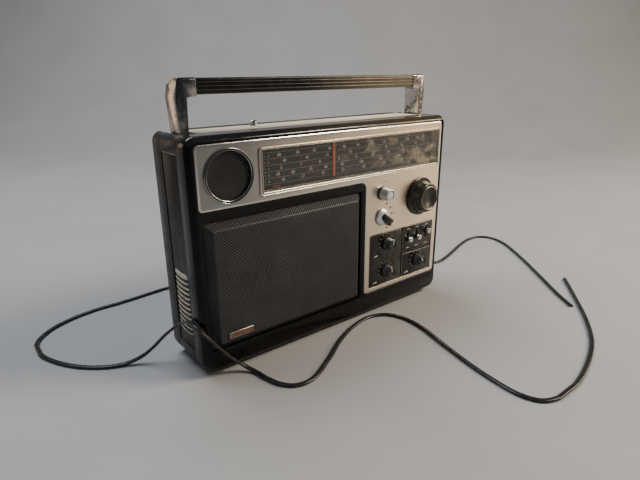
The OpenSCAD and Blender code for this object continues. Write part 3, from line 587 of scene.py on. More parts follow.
gl = Build()
for gx in (30, 110):
    prof = [(4.4, 64.5), (4.4, 68.5), (6.1, 69.0), (6.1, 70.8), (5.8, 71.3)]
    y = 71.3
    for k in range(9):
        rr = 5.5 - 0.2 * k
        prof += [(rr, y), (rr, y + 1.5), (rr - 0.75, y + 1.7), (rr - 0.75, y + 2.3)]
        y += 2.4
    prof += [(3.5, y), (3.4, 94.0), (2.9, 94.0)]
    gl.lathe((gx, 24), prof, 40)
glands = gl.done("strain_reliefs", MAT["foot"], "case", "lead_glands", sharp=40)
cordA, pathA, lenA = flex("mains_flex", MAINS, "mains_lead", 0)
cordB, pathB, lenB = flex("second_flex", SECOND, "second_lead", 1)

# --------------------------------------------------------------- the front
TW = (-131.3, 196.0)
FINE, BAND, TUNE = (63.5, 150.0), (63.3, 122.0), (127.6, 137.2)
VOL, BASS, TREB = (72.3, 88.5), (72.5, 53.5), (128.5, 54.5)
SW = [(111.0, 85.0), (127.0, 85.0), (144.5, 90.0)]
NC = 8


def case_loop(i):
    return rrect(-170, 5, 170, 232, (13, 13, 10, 10), NC, i)


L_PLATE = fillet([(-163, 166.2), (37.1, 166.2), (37.1, 30.5), (163, 30.5), (163, 225.3), (-163, 225.3)],
                 [4.5, 7, 4.5, 4.5, 4.5, 4.5], 8)
DIAL = rrect(-97.5, 174.5, 155.5, 215.9, 1.5, 4)
RECESS = rrect(44.3, 36.2, 155.7, 102.1, 2.2, 5)
slots = [rrect(x - 1.8, 80, x + 1.8, 95, 0.5, 3) for x, z in SW]
knob_holes = [circle(c, 3.6, 24) for c in (FINE, BAND, VOL, BASS, TREB, TUNE)]

b = Build()
rim = case_loop
b.loft([at(rim(3.2), 2), at(rim(3.2), 16.8), at(rim(3.0), 17), at(rim(0.7), 17), at(rim(0.15), 16.8), at(rim(0), 16.3),
        at(rim(0), 2.2), at(rim(0.2), 1.1), at(rim(0.8), 0.2), at(rim(3.0), -2.3), at(rim(3.8), -3.1), at(rim(4.7), -3.5)])
pocket_l = grow(L_PLATE, 0.25)
pocket_g = rrect(-161.7, 28.7, 29.8, 156.8, 2.2, 5)
g_in = grow(pocket_g, 0.6)
b.fill([at(rim(4.7), -3.5), at(grow(pocket_l, 0.35), -3.5), at(g_in, -3.5)])
b.loft([at(grow(pocket_l, 0.35), -3.5), at(pocket_l, -3.15), at(pocket_l, -2)])
b.loft([at(g_in, -3.5), at(grow(pocket_g, 0.15), -3.3), at(pocket_g, -2.8), at(pocket_g, 0)])
b.fill([at(pocket_l, -2), at(circle(TW, 23), -2), at(DIAL, -2)] + [at(h, -2) for h in knob_holes + slots])
b.fill([at(pocket_g, 0), at(circle((-66, 93), 46), 0)], 1)
b.fill([at(rim(3.2), 2), at(circle(TW, 19), 2), at(circle((-66, 93), 46), 2), at(DIAL, 2)] + [at(h, 2) for h in knob_holes + slots])
for h in [DIAL] + knob_holes + slots:
    b.loft([at(h, -2), at(h, 2)])
b.loft([at(circle((-66, 93), 46), 0), at(circle((-66, 93), 46), 2)], 1)
b.loft([at(circle(TW, 23), -2), at(circle(TW, 23), -1), at(circle(TW, 19), -1), at(circle(TW, 19), 2)], 1)
for c in ((-157, 18), (157, 18), (-157, 166), (157, 166)):
    b.lathe(c, [(4.5, 2), (4.5, 16.8), (1.5, 17), (1.5, 5)], 24, cap0=False)
moulding = b.done("front_frame_moulding", [MAT["case"], MAT["dark"], MAT["case_top_painted_sheen"]], "case", "front_frame")
for pl in moulding.data.polygons:
    # the top of the rim is handled most and has the glossiest skin, with a painted warm sheen in its colour that grows
    # towards the right
    if pl.normal.z > 0.25 and pl.center.z > 0.216:
        pl.material_index = 2

b = Build()
b.loft([at(L_PLATE, -2), at(L_PLATE, -2.6), at(grow(L_PLATE, -0.25), -2.95), at(grow(L_PLATE, -0.8), -3.28), at(grow(L_PLATE, -1.5), -3.46),
        at(grow(L_PLATE, -2.1), -3.5)], 1)
plate_holes = [circle(TW, 23.4), DIAL, RECESS] + knob_holes
for h in plate_holes:
    b.loft([at(grow(h, 0.35), -3.5), at(grow(h, 0.12), -3.38), at(h, -3.15), at(h, -2)], 1)
b.fill([at(grow(L_PLATE, -2.1), -3.5)] + [at(grow(h, 0.35), -3.5) for h in plate_holes], 0)
b.fill([at(L_PLATE, -2)] + [at(h, -2) for h in plate_holes], 0)
b.done("brushed_faceplate", [MAT["alu"], MAT["alu_edge"]], "case", "faceplate", sharp=20)

# tweeter ring and mesh
b = Build()
b.lathe(TW, [(23.2, -2.2), (23.4, -3.5), (25.0, -3.52), (25.0, -4.6), (24.8, -5.2), (24.5, -5.35), (24.25, -5.2), (24.15, -4.7)], 96, cap0=False, cap1=False)
b.lathe(TW, [(24.15, -4.7), (24.0, -4.0), (23.4, -3.8), (23.3, -4.3)], 96, 1, cap0=False, cap1=False)
b.lathe(TW, [(23.3, -4.3), (23.15, -5.0), (22.8, -5.3), (22.4, -5.1), (22.1, -4.5)], 96, 0, cap0=False, cap1=False)
b.lathe(TW, [(22.1, -4.5), (21.7, -3.2), (21.5, -2.1)], 96, 1, cap0=False, cap1=False)
b.done("tweeter_ring", [MAT["ring_metal"], MAT["dark"]], "case", "tweeter_trim_ring", sharp=50)


PA, PB = 3.15, 2.75             # spacing of the holes along and across the sheet


def perforated(b, u0, v0, u1, v1, r, mapf, keep, thick, mi=0, margin=1.0):
    """A sheet with a staggered pattern of round holes, mapped by mapf(u, v, depth) and trimmed by keep(u, v)."""
    rows = int((v1 - v0) / (PB / 2)) + 3
    cols = int((u1 - u0) / PA) + 3
    index = {}
    verts, faces = [], []
    corners = [(PA / 2, 0), (0, PB / 2), (-PA / 2, 0), (0, -PB / 2)]
    rim_ = []
    for k in range(4):
        p, q2 = corners[k], corners[(k + 1) % 4]
        for t in range(3):
            rim_.append((p[0] + (q2[0] - p[0]) * t / 3, p[1] + (q2[1] - p[1]) * t / 3))
    ang = [math.atan2(q2[1], q2[0]) for q2 in rim_]

    def vid(u, v, d, tag=""):
        u = min(max(u, u0), u1); v = min(max(v, v0), v1)
        key = (round(u, 3), round(v, 3), d, tag)
        if key not in index:
            index[key] = len(verts)
            verts.append(mapf(u, v, d))
        return index[key]

    for j in range(-1, rows):
        for i in range(-1, cols):
            cu = u0 + i * PA + (PA / 2 if j % 2 else 0)
            cv = v0 + j * PB / 2
            ring = [(cu + x, cv + z) for x, z in rim_]
            inside = [u0 - 1e-6 <= a <= u1 + 1e-6 and v0 - 1e-6 <= c <= v1 + 1e-6 for a, c in ring]
            if not any(inside) or not keep(cu, cv, -PA / 2):
                continue
            hole = (u0 + r + margin < cu < u1 - r - margin and v0 + r + margin < cv < v1 - r - margin and keep(cu, cv, r + margin))
            hp = [(cu + r * math.cos(a), cv + r * math.sin(a)) for a in ang]
            for d, flip in ((0.0, False), (thick, True)):
                o = [vid(a, c, d) for a, c in ring]
                if hole:
                    h = [vid(a, c, d, "h") for a, c in hp]
                    for k in range(12):
                        f = (o[k], o[(k + 1) % 12], h[(k + 1) % 12], h[k])
                        faces.append(f[::-1] if flip else f)
                else:
                    f = []
                    for q in o:
                        if q not in f:
                            f.append(q)
                    if len(f) > 2:
                        faces.append(tuple(f[::-1] if flip else f))
            if hole:
                a = [vid(x, z, 0.0, "h") for x, z in hp]
                c = [vid(x, z, thick, "h") for x, z in hp]
                for k in range(12):
                    faces.append((a[k], a[(k + 1) % 12], c[(k + 1) % 12], c[k]))
    b.add(verts, faces, mi)


b = Build()
perforated(b, TW[0] - 23, TW[1] - 23, TW[0] + 23, TW[1] + 23, 0.90, lambda u, v, d: (u, -1.9 + d, v),
           lambda u, v, m: math.hypot(u - TW[0], v - TW[1]) < 22.6 - m, 0.5, margin=0.2)
b.done("tweeter_mesh", MAT["mesh_dark"], "case", "tweeter_grille", sharp=60)

GX0, GX1, GZ0, GZ1, RISE = -161.4, 29.5, 29.0, 156.5, 9.0
SL = RISE * math.sqrt(2)


def fold(s, length):
    """Plan distance and height for a distance s along a sheet folded at both ends."""
    plan_len = length - 2 * SL + 2 * RISE
    def one(t):
        return (t / math.sqrt(2), t / math.sqrt(2)) if t < SL else (t - SL + RISE, RISE)
    p, h = one(min(s, length - s))
    return (p if s <= length / 2 else plan_len - p), h


LU = (GX1 - GX0) - 2 * RISE + 2 * SL
LV = (GZ1 - GZ0) - 2 * RISE + 2 * SL


def pillow(u, v, d):
    x, hx = fold(u, LU)
    z, hz = fold(v, LV)
    # the fold is a small radius, not a knife edge
    h = min(hx, hz)
    k = 2.6
    q = max(0.0, k - abs(hx - hz)) / k
    h -= q * q * k / 4
    e = max(0.0, 2.4 - (RISE - h)) / 2.4
    h = (h - e * e * 1.2) * 1.12
    return (GX0 + x, -max(h, 0.0) + d, GZ0 + z)


b = Build()
perforated(b, 0, 0, LU, LV, 0.925, pillow, lambda u, v, m: True, 0.7, margin=0.7)
b.done("perforated_grille", MAT["grille"], "case", "speaker_grille", sharp=60)

b = Build()
b.loft([at(rrect(-145.5, 39.8, -118.5, 46.4, 0.8, 4), -8.5), at(rrect(-145.5, 39.8, -118.5, 46.4, 0.8, 4), -9.8),
        at(rrect(-145.5, 39.8, -118.5, 46.4, 0.8, 4, 0.3), -10.1)], 0, cap0=True)
b.fill([at(rrect(-145.5, 39.8, -118.5, 46.4, 0.8, 4, 0.3), -10.1), at(rrect(-144.2, 41.0, -119.8, 45.2, 0.5, 4), -10.1)], 0)
b.loft([at(rrect(-144.2, 41.0, -119.8, 45.2, 0.5, 4), -10.1), at(rrect(-144.1, 41.1, -119.9, 45.1, 0.5, 4), -9.8)], 0)
b.fill([at(rrect(-144.1, 41.1, -119.9, 45.1, 0.5, 4), -9.8)], 1)
for k in range(9):
    b.box((-142.6 + 2.5 * k, -10.05, 42.0), (-141.3 + 2.5 * k, -9.79, 44.2), 1, 0.1)
b.done("grille_plate", [MAT["badge"], MAT["badge_inlay"]], "case", "badge_plate", sharp=30)

# --------------------------------------------------------------- the dial
b = Build()
o, q = (-100.3, 171.8, 157.8, 217.6), (-96.5, 175.5, 154.5, 214.9)
def trim(i):
    """Loop between the trim's outer (0) and inner (1) edges."""
    return rrect(*[o[k] + (q[k] - o[k]) * i for k in range(4)], 3.2 - 2.1 * i, 6)


b.loft([at(trim(0), -3.4), at(trim(0), -4.3), at(trim(0.06), -4.75), at(trim(0.16), -5.0), at(trim(0.28), -4.95), at(trim(0.38), -4.6),
        at(trim(0.40), -4.2)], 0)
b.loft([at(trim(0.40), -4.2), at(trim(0.72), -4.15)], 1)
b.loft([at(trim(0.72), -4.15), at(trim(0.76), -4.7), at(trim(0.84), -4.95), at(trim(0.93), -4.85), at(trim(1.0), -4.4), at(trim(1.0), -3.4)], 0)
b.done("dial_trim", [MAT["trim_metal"], MAT["trim_groove"]], "case", "dial_window_frame", sharp=50)
b = Build()
LQ = (-96.4, 175.6, 154.4, 214.8)
b.loft([at(rrect(*LQ, 1.1, 5, 0.25), -4.4), at(rrect(*LQ, 1.1, 5), -4.15), at(rrect(*LQ, 1.1, 5), -3.1)])
b.fill([at(rrect(*LQ, 1.1, 5, 0.25), -4.4)])
b.fill([at(rrect(*LQ, 1.1, 5), -3.1)])
b.done("dial_window", MAT["lens"], "case", "dial_lens", sharp=20)
refine("dial_tub", MAT["dial_pale"], 0.15, 1)
refine("dial_pointer", MAT["pointer"], 0.3, 2)


def text_mesh(body, size, x, z, y):
    """Outline of a number as a flat raised mesh, centred at (x, z)."""
    cu = bpy.data.curves.new("t", "FONT")
    cu.body = body; cu.size = size; cu.align_x = "CENTER"; cu.align_y = "CENTER"
    cu.extrude = 0.04; cu.resolution_u = 3
    ob = bpy.data.objects.new("t", cu)
    scene.collection.objects.link(ob)
    dg = bpy.context.evaluated_depsgraph_get()
    me = bpy.data.meshes.new_from_object(ob.evaluated_get(dg), depsgraph=dg)
    vs = [(v.co.x + x, y - v.co.z, v.co.y + z) for v in me.vertices]
    fs = [tuple(p.vertices) for p in me.polygons]
    bpy.data.objects.remove(ob)
    return vs, fs


b = Build()
b.loft([at(rrect(*q, 1.1, 5, 0.1), 5.6), at(rrect(*q, 1.1, 5, 0.1), 5.05), at(rrect(*q, 1.1, 5, 0.15), 5.0)])
b.fill([at(rrect(*q, 1.1, 5, 0.15), 5.0)])
b.fill([at(rrect(*q, 1.1, 5, 0.1), 5.6)])
LINES = [210.6, 204.6, 198.4, 192.2, 186.0, 180.0]
for z in LINES:
    b.box((-92, 4.93, z - 0.13), (143, 5.0, z + 0.13), 3)
rows = [
    (207.3, ["88", "90", "92", "94", "96", "98", "100", "102", "104", "106", "108"], [-72, -50, -29, -9, 11, 31, 51, 71, 90, 109, 127]),
    (201.2, ["49", "41", "31", "25", "22", "19", "16", "13"], [-66, -38, -12, 20, 46, 74, 100, 124]),
    (195.0, ["6", "7", "8", "9", "10", "12", "14", "16", "18"], [-70, -46, -22, 4, 28, 54, 78, 102, 126]),
    (188.8, ["54", "60", "70", "80", "90", "100", "120", "140", "160"], [-74, -56, -34, -14, 8, 36, 66, 96, 128]),
    (182.8, ["15", "17", "19", "21", "23", "25", "27", "29"], [-68, -44, -18, 10, 40, 72, 102, 130]),
]
rng = random.Random(7)
for z, words, xs in rows:
    for w, x in zip(words, xs):
        vs, fs = text_mesh(w, 4.3, x, z, 4.94)
        b.add(vs, fs, 1)
        b.box((x - 0.2, 4.93, z + 2.1), (x + 0.2, 5.0, z + 3.1), 1)
    for k in range(len(xs) - 1):
        for t in (0.25, 0.5, 0.75):
            x = xs[k] + (xs[k + 1] - xs[k]) * t
            b.box((x - 0.12, 4.93, z + 2.4), (x + 0.12, 5.0, z + 3.1), 1)
    # red blocks that mark the wave bands
    for k in range(6):
        x = -78 + 38 * k + rng.uniform(-10, 10)
        b.box((x, 4.92, z + 2.6), (x + rng.uniform(1.6, 3.6), 5.0, z + 3.5), 2)
    for x in (-88.5, -84.5):
        vs, fs = text_mesh(str(1 + (x > -86)), 2.6, x, z, 4.94)
        b.add(vs, fs, 1)
b.box((-80, 4.92, 176.6), (-72, 5.0, 178.0), 2)
b.done("dial_scale_print", [MAT["dial_black"], MAT["ink_pale"], MAT["ink_red"], MAT["ink_line"]], "case", "dial_scale", sharp=20)

# ------------------------------------------------------------ sub-panels
def dots(b, c, r, a0, a1, n, mi, size=0.42, y=-3.2, h=0.12):
    for k in range(n):
        a = math.radians(a0 + (a1 - a0) * k / (n - 1))
        p = (c[0] + r * math.cos(a), c[1] + r * math.sin(a))
        b.lathe(p, [(size, y), (size, y - h * 0.6), (size * 0.6, y - h)], 10, mi, cap0=False)


def wedge(b, x, z, w, h, mi, y=-3.2):
    b.loft([[(x, y, z), (x + w, y, z), (x + w, y, z + h)], [(x, y - 0.08, z), (x + w, y - 0.08, z), (x + w, y - 0.08, z + h)]], mi, cap1=True)


def panel(name, node, rect, holes, knobs, extra=None):
    b = Build()
    plate(b, rrect(*rect, 1.6, 5), holes, -3.2, -2, bevel=0.35, hole_bevel=0.25, edge=2)
    for c in knobs:
        dots(b, c, 11.2, 230, -50, 11, 1)
        b.lathe(c, [(9.4, -3.2), (9.35, -3.28), (7.6, -3.3), (3.7, -3.3), (3.7, -3.2)], 48, 3, cap0=False, cap1=False)
    if extra:
        extra(b)
    b.done(name, [MAT["panel"], MAT["ink_pale"], MAT["panel_edge"], MAT["dark"]], "case", node, sharp=30)


MAT["panel_edge"] = pbr("panel_edge", (0.30, 0.27, 0.22), 0.3, metal=0.6, var=0.2, rvar=0.1, bump=0.1, dust=0.1)
h = [circle(c, 3.6, 24) for c in (VOL, BASS, TREB)]
panel("left_control_panel", "control_panel_left", (45, 37, 99, 101.3), h[:2], [VOL, BASS],
      lambda b: (wedge(b, 51, 74.0, 7, 1.9, 1), wedge(b, 51, 40.2, 7, 1.9, 1)))
panel("slide_switch_panel", "switch_panel", (101.5, 68.5, 155, 101.3), slots, [],
      lambda b: [b.box((x - 3, -3.27, z), (x + 3, -3.2, z + 0.5), 1) for x, _ in SW for z in (97.6, 73.2)])
panel("lower_control_panel", "control_panel_lower", (101.5, 37, 155, 66.5), h[2:], [TREB],
      lambda b: wedge(b, 106, 40.2, 7, 1.9, 1))

# dimples for the band positions
b = Build()
for a in (64, 34.5, 7, -26, -59):
    p = (BAND[0] + 16.5 * math.cos(math.radians(a)), BAND[1] + 16.5 * math.sin(math.radians(a)))
    b.lathe(p, [(1.15, -3.5), (1.1, -3.8), (0.85, -4.05), (0.4, -4.2)], 20, 0, cap0=False)
    if a > -50:
        b.box((p[0] + 3.4, -3.58, p[1] - 0.25), (p[0] + 6.2, -3.5, p[1] + 0.25), 0)
for k in range(5):
    b.box((57.6 + 2.8 * k, -3.58, 162.6), (58.3 + 2.8 * k, -3.5, 162.6 + 0.5 + 0.35 * k), 0)
band_marks = b.done("band_marks", MAT["knob"], "case", sharp=60)

# ---------------------------------------------------------------- knobs
b = Build()
T = TUNE
b.lathe(T, [(3, 0), (3, -3.7), (20.5, -3.9), (22.6, -4.0), (23.3, -4.4), (23.35, -5.1), (23.1, -5.8), (22.4, -6.25), (21.0, -6.5)],
        120, 0, cap0=False, cap1=False)
# the faceted body takes the slate copy of the black knob material, a painted sheen
b.lathe(T, [(21.0, -6.5), (19.9, -6.8), (19.5, -7.4), (19.2, -8.6), (18.7, -12.0), (18.0, -15.4), (17.7, -16.6), (17.2, -17.4)], 140, 1,
        cap0=False, cap1=False,
        mod=lambda a, k: (math.cos(math.pi / 14) / math.cos((a % (math.pi / 7)) - math.pi / 14) - 1.0 if 1 <= k <= 6 else 0))
b.lathe(T, [(17.2, -17.4), (16.2, -18.0), (15.2, -18.0), (14.7, -17.7), (14.6, -17.2)], 140, 0, cap0=False, cap1=False)
b.done("tuning_knob_body", [MAT["knob"], MAT["tuning_side_painted_sheen"]], "tuning_control", "tuning_knob", sharp=20)
b = Build()
b.lathe(T, [(14.5, -17.0), (14.5, -18.6), (14.28, -19.08)], 96, 1, cap0=False, cap1=False)
b.lathe(T, [(14.28, -19.08), (14.05, -19.26), (13.85, -19.3), (13.6, -19.16)], 96, 0, cap0=False, cap1=False)
b.lathe(T, [(13.6, -19.16), (13.2, -18.7), (12.9, -18.5), (10.0, -18.3), (9.9, -18.22), (6.0, -18.1), (5.9, -18.02), (2.0, -17.95)], 96, 1, cap0=False)
b.done("tuning_knob_disc", [MAT["tan_ring"], MAT["disc_brown"]], "tuning_control", "tuning_knob_cap", sharp=40)

b = Build()
F = FINE
# painted shade: the base collar takes the black knob material to stand in for the shadow gap at the knob's base
b.lathe(F, [(3, 0), (3, -3.9), (7.6, -4.0), (8.0, -4.4), (8.0, -5.3), (7.6, -5.6)], 64, 1, cap0=False, cap1=False)
b.lathe(F, [(7.6, -5.6), (7.75, -5.8), (6.75, -14.6), (6.6, -15.7), (6.2, -16.3), (5.6, -16.5), (5.2, -16.35), (5.05, -15.9)], 96, 0, cap0=False, cap1=False,
        mod=lambda a, k: (-0.016 * (0.5 + 0.5 * math.cos(48 * a)) if k in (1, 2) else 0))
b.lathe(F, [(5.05, -15.9), (4.75, -15.3), (4.5, -15.3), (4.3, -15.8)], 64, 1, cap0=False, cap1=False)
b.lathe(F, [(4.3, -15.8), (4.0, -16.1), (2.2, -16.2), (1.0, -16.22)], 64, 0, cap0=False)
b.done("fine_tuning_cap", [MAT["knob_silver"], MAT["knob"]], "fine_tuning", "fine_tuning_knob", sharp=40)

b = Build()
D = BAND
b.lathe(D, [(3, 0), (3, -3.9), (10.0, -4.0), (10.25, -4.3), (10.25, -5.1), (10.0, -5.7), (9.3, -6.4), (8.0, -7.1), (6.0, -7.7),
            (3.5, -8.05), (1.2, -8.15)], 80, 0, cap0=False)
ca, sa = math.cos(math.radians(-46)), math.sin(math.radians(-46))


def dial_bar(prof):
    """Loops of the finger bar: [(t, half width, y low, y high)], t along the pointing direction."""
    loops = []
    for t, w, ya, yb in prof:
        l = []
        for s, y in ((-1, ya), (1, ya), (1, yb + 0.5), (0.82, yb), (-0.82, yb), (-1, yb + 0.5)):
            u = s * w
            l.append((D[0] + t * ca - u * sa, y, D[1] + t * sa + u * ca))
        loops.append(l)
    return loops


b.loft(dial_bar([(-4.6, 2.2, -7.2, -8.3), (-4.0, 3.2, -7.2, -9.4), (-1, 3.9, -7.0, -11.6), (3, 4.2, -6.6, -13.2), (8.2, 4.2, -4.6, -13.95),
                 (9.3, 4.1, -4.6, -13.95), (9.8, 3.6, -4.6, -13.4)]), 1, cap0=True, cap1=True)
b.loft(dial_bar([(8.2, 0.5, -13.6, -13.99), (9.2, 0.5, -13.4, -13.99)]), 2, cap0=True, cap1=True)
b.done("band_selector_cap", [MAT["knob_silver"], MAT["knob"], MAT["ink_pale"]], "band_selector", "band_selector_knob", sharp=40)


def small_knob(name, node, body, c, angle):
    b = Build()
    b.lathe(c, [(3, 0), (3, -3.5), (6.9, -3.7), (7.25, -4.1), (7.25, -4.9), (7.05, -5.4)], 96, 0, cap0=False, cap1=False)
    # the ribbed sides take the slate copy of the black knob material, a painted sheen
    b.lathe(c, [(7.05, -5.4), (7.0, -5.7), (6.25, -13.4), (6.1, -14.2)], 96, 2, cap0=False, cap1=False,
            mod=lambda a, k: (-0.035 * (0.5 + 0.5 * math.cos(32 * a)) if k in (1, 2) else 0))
    b.lathe(c, [(6.1, -14.2), (5.6, -14.65), (5.0, -14.7), (4.7, -14.5), (4.5, -14.1), (4.2, -14.0), (1.0, -14.0)], 96, 0, cap0=False)
    a = math.radians(angle)
    u, w = (math.cos(a), math.sin(a)), (-math.sin(a), math.cos(a))
    pt = lambda t, s, y: (c[0] + u[0] * t + w[0] * s, y, c[1] + u[1] * t + w[1] * s)
    b.loft([[pt(0.6, -0.32, y), pt(5.5, -0.32, y), pt(5.5, 0.32, y), pt(0.6, 0.32, y)] for y in (-14.0, -14.85)], 1, cap1=True)
    b.loft([[pt(5.3, -0.32, y), pt(6.5, -0.32, y + 1.0), pt(6.5, 0.32, y + 1.0), pt(5.3, 0.32, y)] for y in (-14.2, -14.85)], 1, cap1=True)
    b.done(name, [MAT["knob"], MAT["ink_pale"], MAT["knob_side_painted_sheen"]], body, node, sharp=40)


small_knob("volume_cap", "volume_knob", "volume", VOL, 75)
small_knob("bass_cap", "bass_knob", "bass", BASS, 100)
small_knob("treble_cap", "treble_knob", "treble", TREB, 120)

for k, (x, z) in enumerate(SW):
    b = Build()
    b.box((x - 1.4, -3.6, z - 1.5), (x + 1.4, 8, z + 1.5), 0)
    cs = [(-9.4, 0.45), (-9.15, 0.12), (-8.8, 0.0), (-8.1, 0.0), (-7.8, 0.35), (-7.4, 0.35), (-7.1, 0.0), (-4.2, 0.0), (-3.7, 0.15), (-3.5, 0.5)]
    b.loft([at(rrect(x - 2.6, z - 3.1, x + 2.6, z + 3.1, 0.7, 4, i), y) for y, i in cs], 0, cap0=True, cap1=True)
    b.done(f"switch_cap_{k + 1}", MAT["chrome"], f"switch_{k + 1}", f"switch_lever_{k + 1}", sharp=40)

# ---------------------------------------------------------------- handle
for n in ("handle_left_arm", "handle_right_arm"):
    ob = refine(n, [MAT["chrome_worn"], MAT["arm_painted_dark_reflection"]], 0.55, 3, 25, sharp=28)
    left = n == "handle_left_arm"
    for pl in ob.data.polygons:
        # painted reflection and shadow: the front and inner faces of the left arm and the upper inner face of the right
        # arm get a dark slate copy of the chrome
        if (left and pl.normal.y < -0.5) or (pl.normal.x > 0.85 if left else (pl.normal.x < -0.85 and pl.center.z > 0.262)):
            pl.material_index = 1
refine("handle_grip", MAT["grip"], 0.5, 2, 25)
b = Build()
f0, top = 27.0, 279.0
prof = [(f0 + 2.5, top - 0.45), (f0 + 2.5, top - 14.5), (f0 + 1.7, top - 14.3), (f0 + 1.2, top - 14.0)]
tips = []
for k in range(3):
    z = top - 10.9 + 3.35 * k
    prof += [(f0 + 1.0, z - 0.75), (f0 + 0.55, z - 0.45), (f0 + 0.34, z - 0.1), (f0 + 0.34, z + 0.15), (f0 + 0.6, z + 0.45), (f0 + 1.0, z + 0.7)]
    tips.append(z + 0.02)
prof += [(f0 + 1.0, top - 1.4), (f0 + 1.5, top - 0.6)]
b.prism(prof, -141, 141)
# painted highlight: thin pale strips on the ridge crests stand in for the light catching them
for z in tips:
    b.box((-140.8, f0 + 0.28, z - 0.22), (140.8, f0 + 0.5, z + 0.22), 1, 0.05)
b.done("ribbed_grip_strip", [MAT["grip"], MAT["grip_ridge_painted_highlight"]], "handle", "handle_grip_strip", sharp=50)

# ----------------------------------------------------------- case sides, top
refine("mid_shell", MAT["side"], 0.45, 2, 40)
refine("rear_cover", MAT["side"], 0.6, 2, 40)
refine("right_side_panel", MAT["side"], 0.3, 2, 40)
refine("battery_door", MAT["side"], 0.35, 2, 40)
refine("top_trim", MAT["top_strip_painted_highlight"], 0.25, 2, 40)
refine("dial_light_button", MAT["chrome"], 0.25, 2, 40)
refine("feet", MAT["foot"], 0.5, 2, 40)

b = Build()
X0, X1 = -166.8, -169.2
def yz(x, pts): return [(x, y, z) for y, z in pts]
YA, YB = 18.2, 51.3
VA, VB = 19.4, 50.1
side_h = [(VA, 37.5), (VB, 37.5), (VB, 101.1), (VA, 101.1)]
outer = [(YA + 0.1, 24.6), (YB - 0.1, 24.6), (YB - 0.1, 215.9), (YA + 0.1, 215.9)]
inner = [(YA + 0.5, 25.0), (YB - 0.5, 25.0), (YB - 0.5, 215.1), (YA + 0.5, 215.1)]
b.loft([yz(X0, outer), yz(X1 + 0.4, outer), yz(X1, inner)])
b.fill([yz(X1, inner), yz(X1, side_h)])
b.fill([yz(X0, outer), yz(X0, side_h)])
b.loft([yz(X1, side_h), yz(X0, side_h)])
# painted highlight along the top edge of the panel
b.loft([[(X1 - 0.02, y, 215.05) for y in (YA + 0.6, YB - 0.6)] + [(X1 + 0.42, y, 215.92) for y in (YB - 0.3, YA + 0.3)],
        [(X1 - 0.3, y, 215.25) for y in (YA + 0.6, YB - 0.6)] + [(X1 + 0.1, y, 216.0) for y in (YB - 0.3, YA + 0.3)]], 1, cap0=True, cap1=True)
for k in range(12):
    z0 = 37.5 + 5.3 * k
    rows_ = []
    nu = 24
    for j in range(nu + 1):
        u = j / nu
        y = VA - 0.9 + (VB - VA + 1.8) * u
        s_ = (1 - abs(2 * u - 1) ** 2.6) ** 0.5
        # the lip bows outwards and downwards between its two ends
        xo = X1 + 1.0 - 1.75 * s_
        zl = z0 + 3.3 - 2.3 * s_
        hi = 4.4 if k == 11 else 1.1
        rows_.append([(X0 + 0.1, y, z0 + 5.2), (X1 + 0.5, y, z0 + 5.1), (xo + 0.55, y, zl + hi + 0.75), (xo + 0.15, y, zl + hi),
                      (xo, y, zl + 0.45), (xo + 0.15, y, zl + 0.05), (xo + 0.5, y, zl), (X1 + 1.0, y, z0 + 3.6), (X0 + 0.1, y, z0 + 4.3)])
    b.loft(rows_, 0, cap0=True, cap1=True)
    # painted highlight: a pale skin laid just outside the curve of each lip
    b.loft([[q for q in row[2:6]] for row in [[(p_[0] - 0.03, p_[1], p_[2]) for p_ in r_] for r_ in rows_[1:-1]]], 1, closed=False)
b.done("left_louvre_panel", [MAT["side"], MAT["lip"]], "case", "left_vent_panel", sharp=45)

# --------------------------------------------------------- antenna, inside
refine("antenna_bracket", MAT["steel"], 0.3, 2, 40)
for n in ("antenna_tube", "antenna_section_2", "antenna_section_3"):
    refine(n, MAT["chrome"], 0.25, 2, 40)
plain = {"tuning_spindle": "steel", "slide_switch_bodies": "steel", "potentiometers": "steel", "band_switch_body": "board",
         "handle_pivot_pins": "steel", "button_spring": "steel", "battery_cells": "cell", "chassis": "steel",
         "circuit_board": "board", "mains_transformer": "iron", "tuning_capacitor": "steel", "dial_drum": "dial_pale",
         "ferrite_rod": "ferrite", "woofer_frame": "iron", "woofer_cone": "cone", "tweeter_driver": "dark", "case_screws": "steel"}
for n, m in plain.items():
    me = frame["nodes"][n].data
    me.materials.clear()
    me.materials.append(MAT[m])

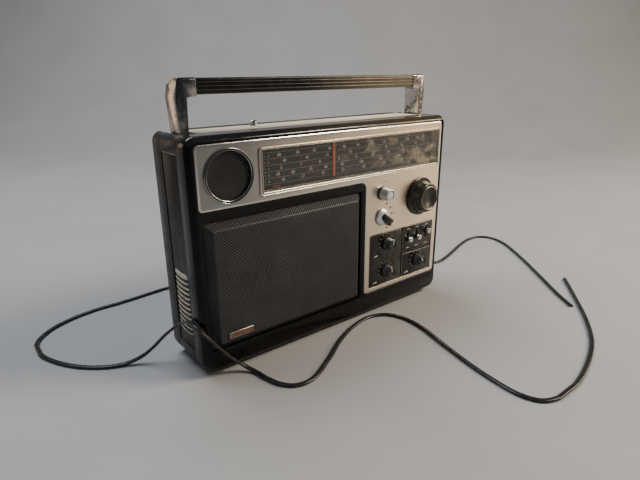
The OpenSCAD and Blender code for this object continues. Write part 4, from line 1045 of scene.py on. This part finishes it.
# ------------------------------------------------------------------- stage
def floor():
    n = Nodes("pale_floor")
    c = n.mix(n.ramp(n.noise(6.0, 4), 0.3, 0.7), (0.40, 0.405, 0.415), (0.44, 0.442, 0.45))
    n.link(c, n.b.inputs["Base Color"])
    n.b.inputs["Roughness"].default_value = 0.75
    n.link(n.bump(n.noise(900.0, 2), 0.1, 0.0003), n.b.inputs["Normal"])
    verts, faces = [], []
    prof = [(-6.0, 0.0), (1.2, 0.0)] + [(1.2 + 0.8 * math.sin(math.radians(a)), 0.8 - 0.8 * math.cos(math.radians(a))) for a in range(10, 91, 10)] + [(2.0, 4.5)]
    yaw = 0.672446
    dx, dy = math.sin(yaw), math.cos(yaw)
    for s in (-6.0, 6.0):
        for d, z in prof:
            verts.append((dx * d + dy * s, dy * d - dx * s, z))
    k = len(prof)
    for i in range(k - 1):
        faces.append((i, i + 1, k + i + 1, k + i))
    me = bpy.data.meshes.new("floor"); me.from_pydata(verts, [], faces)
    bmx = bmesh.new(); bmx.from_mesh(me); bmesh.ops.recalc_face_normals(bmx, faces=bmx.faces)
    bmx.to_mesh(me); bmx.free()
    if me.polygons[0].normal.z < 0:
        me.flip_normals()
    me.polygons.foreach_set("use_smooth", [True] * len(me.polygons))
    me.materials.append(n.m)
    ob = bpy.data.objects.new("floor", me)
    scene.collection.objects.link(ob)


floor()


def area(name, loc, target, size, power, colour):
    l = bpy.data.lights.new(name, "AREA")
    l.shape = "RECTANGLE"; l.size, l.size_y = size; l.energy = power; l.color = colour
    ob = bpy.data.objects.new(name, l)
    d = (Vector(target) - Vector(loc)).normalized()
    ob.matrix_world = d.to_track_quat("-Z", "Y").to_matrix().to_4x4()
    ob.location = loc
    scene.collection.objects.link(ob)


area("key", (1.05, -0.95, 1.25), (0.05, 0, 0.12), (0.5, 0.5), 25, (1.0, 0.88, 0.72))
area("low_key", (1.95, -1.15, 0.75), (0.98, -0.66, 0.0), (0.7, 0.5), 22, (1.0, 0.77, 0.52))
area("top", (-0.3, 0.9, 1.9), (0, 0.1, 0.1), (1.6, 1.0), 31, (0.92, 0.96, 1.0))
area("left_rim", (-0.98, 1.72, 0.42), (-0.17, 0.02, 0.20), (0.5, 0.7), 1.5, (1.0, 0.72, 0.52))
world = bpy.data.worlds.new("studio")
scene.world = world
world.use_nodes = True
world.node_tree.nodes["Background"].inputs["Color"].default_value = (0.66, 0.71, 0.78, 1)
world.node_tree.nodes["Background"].inputs["Strength"].default_value = 0.17
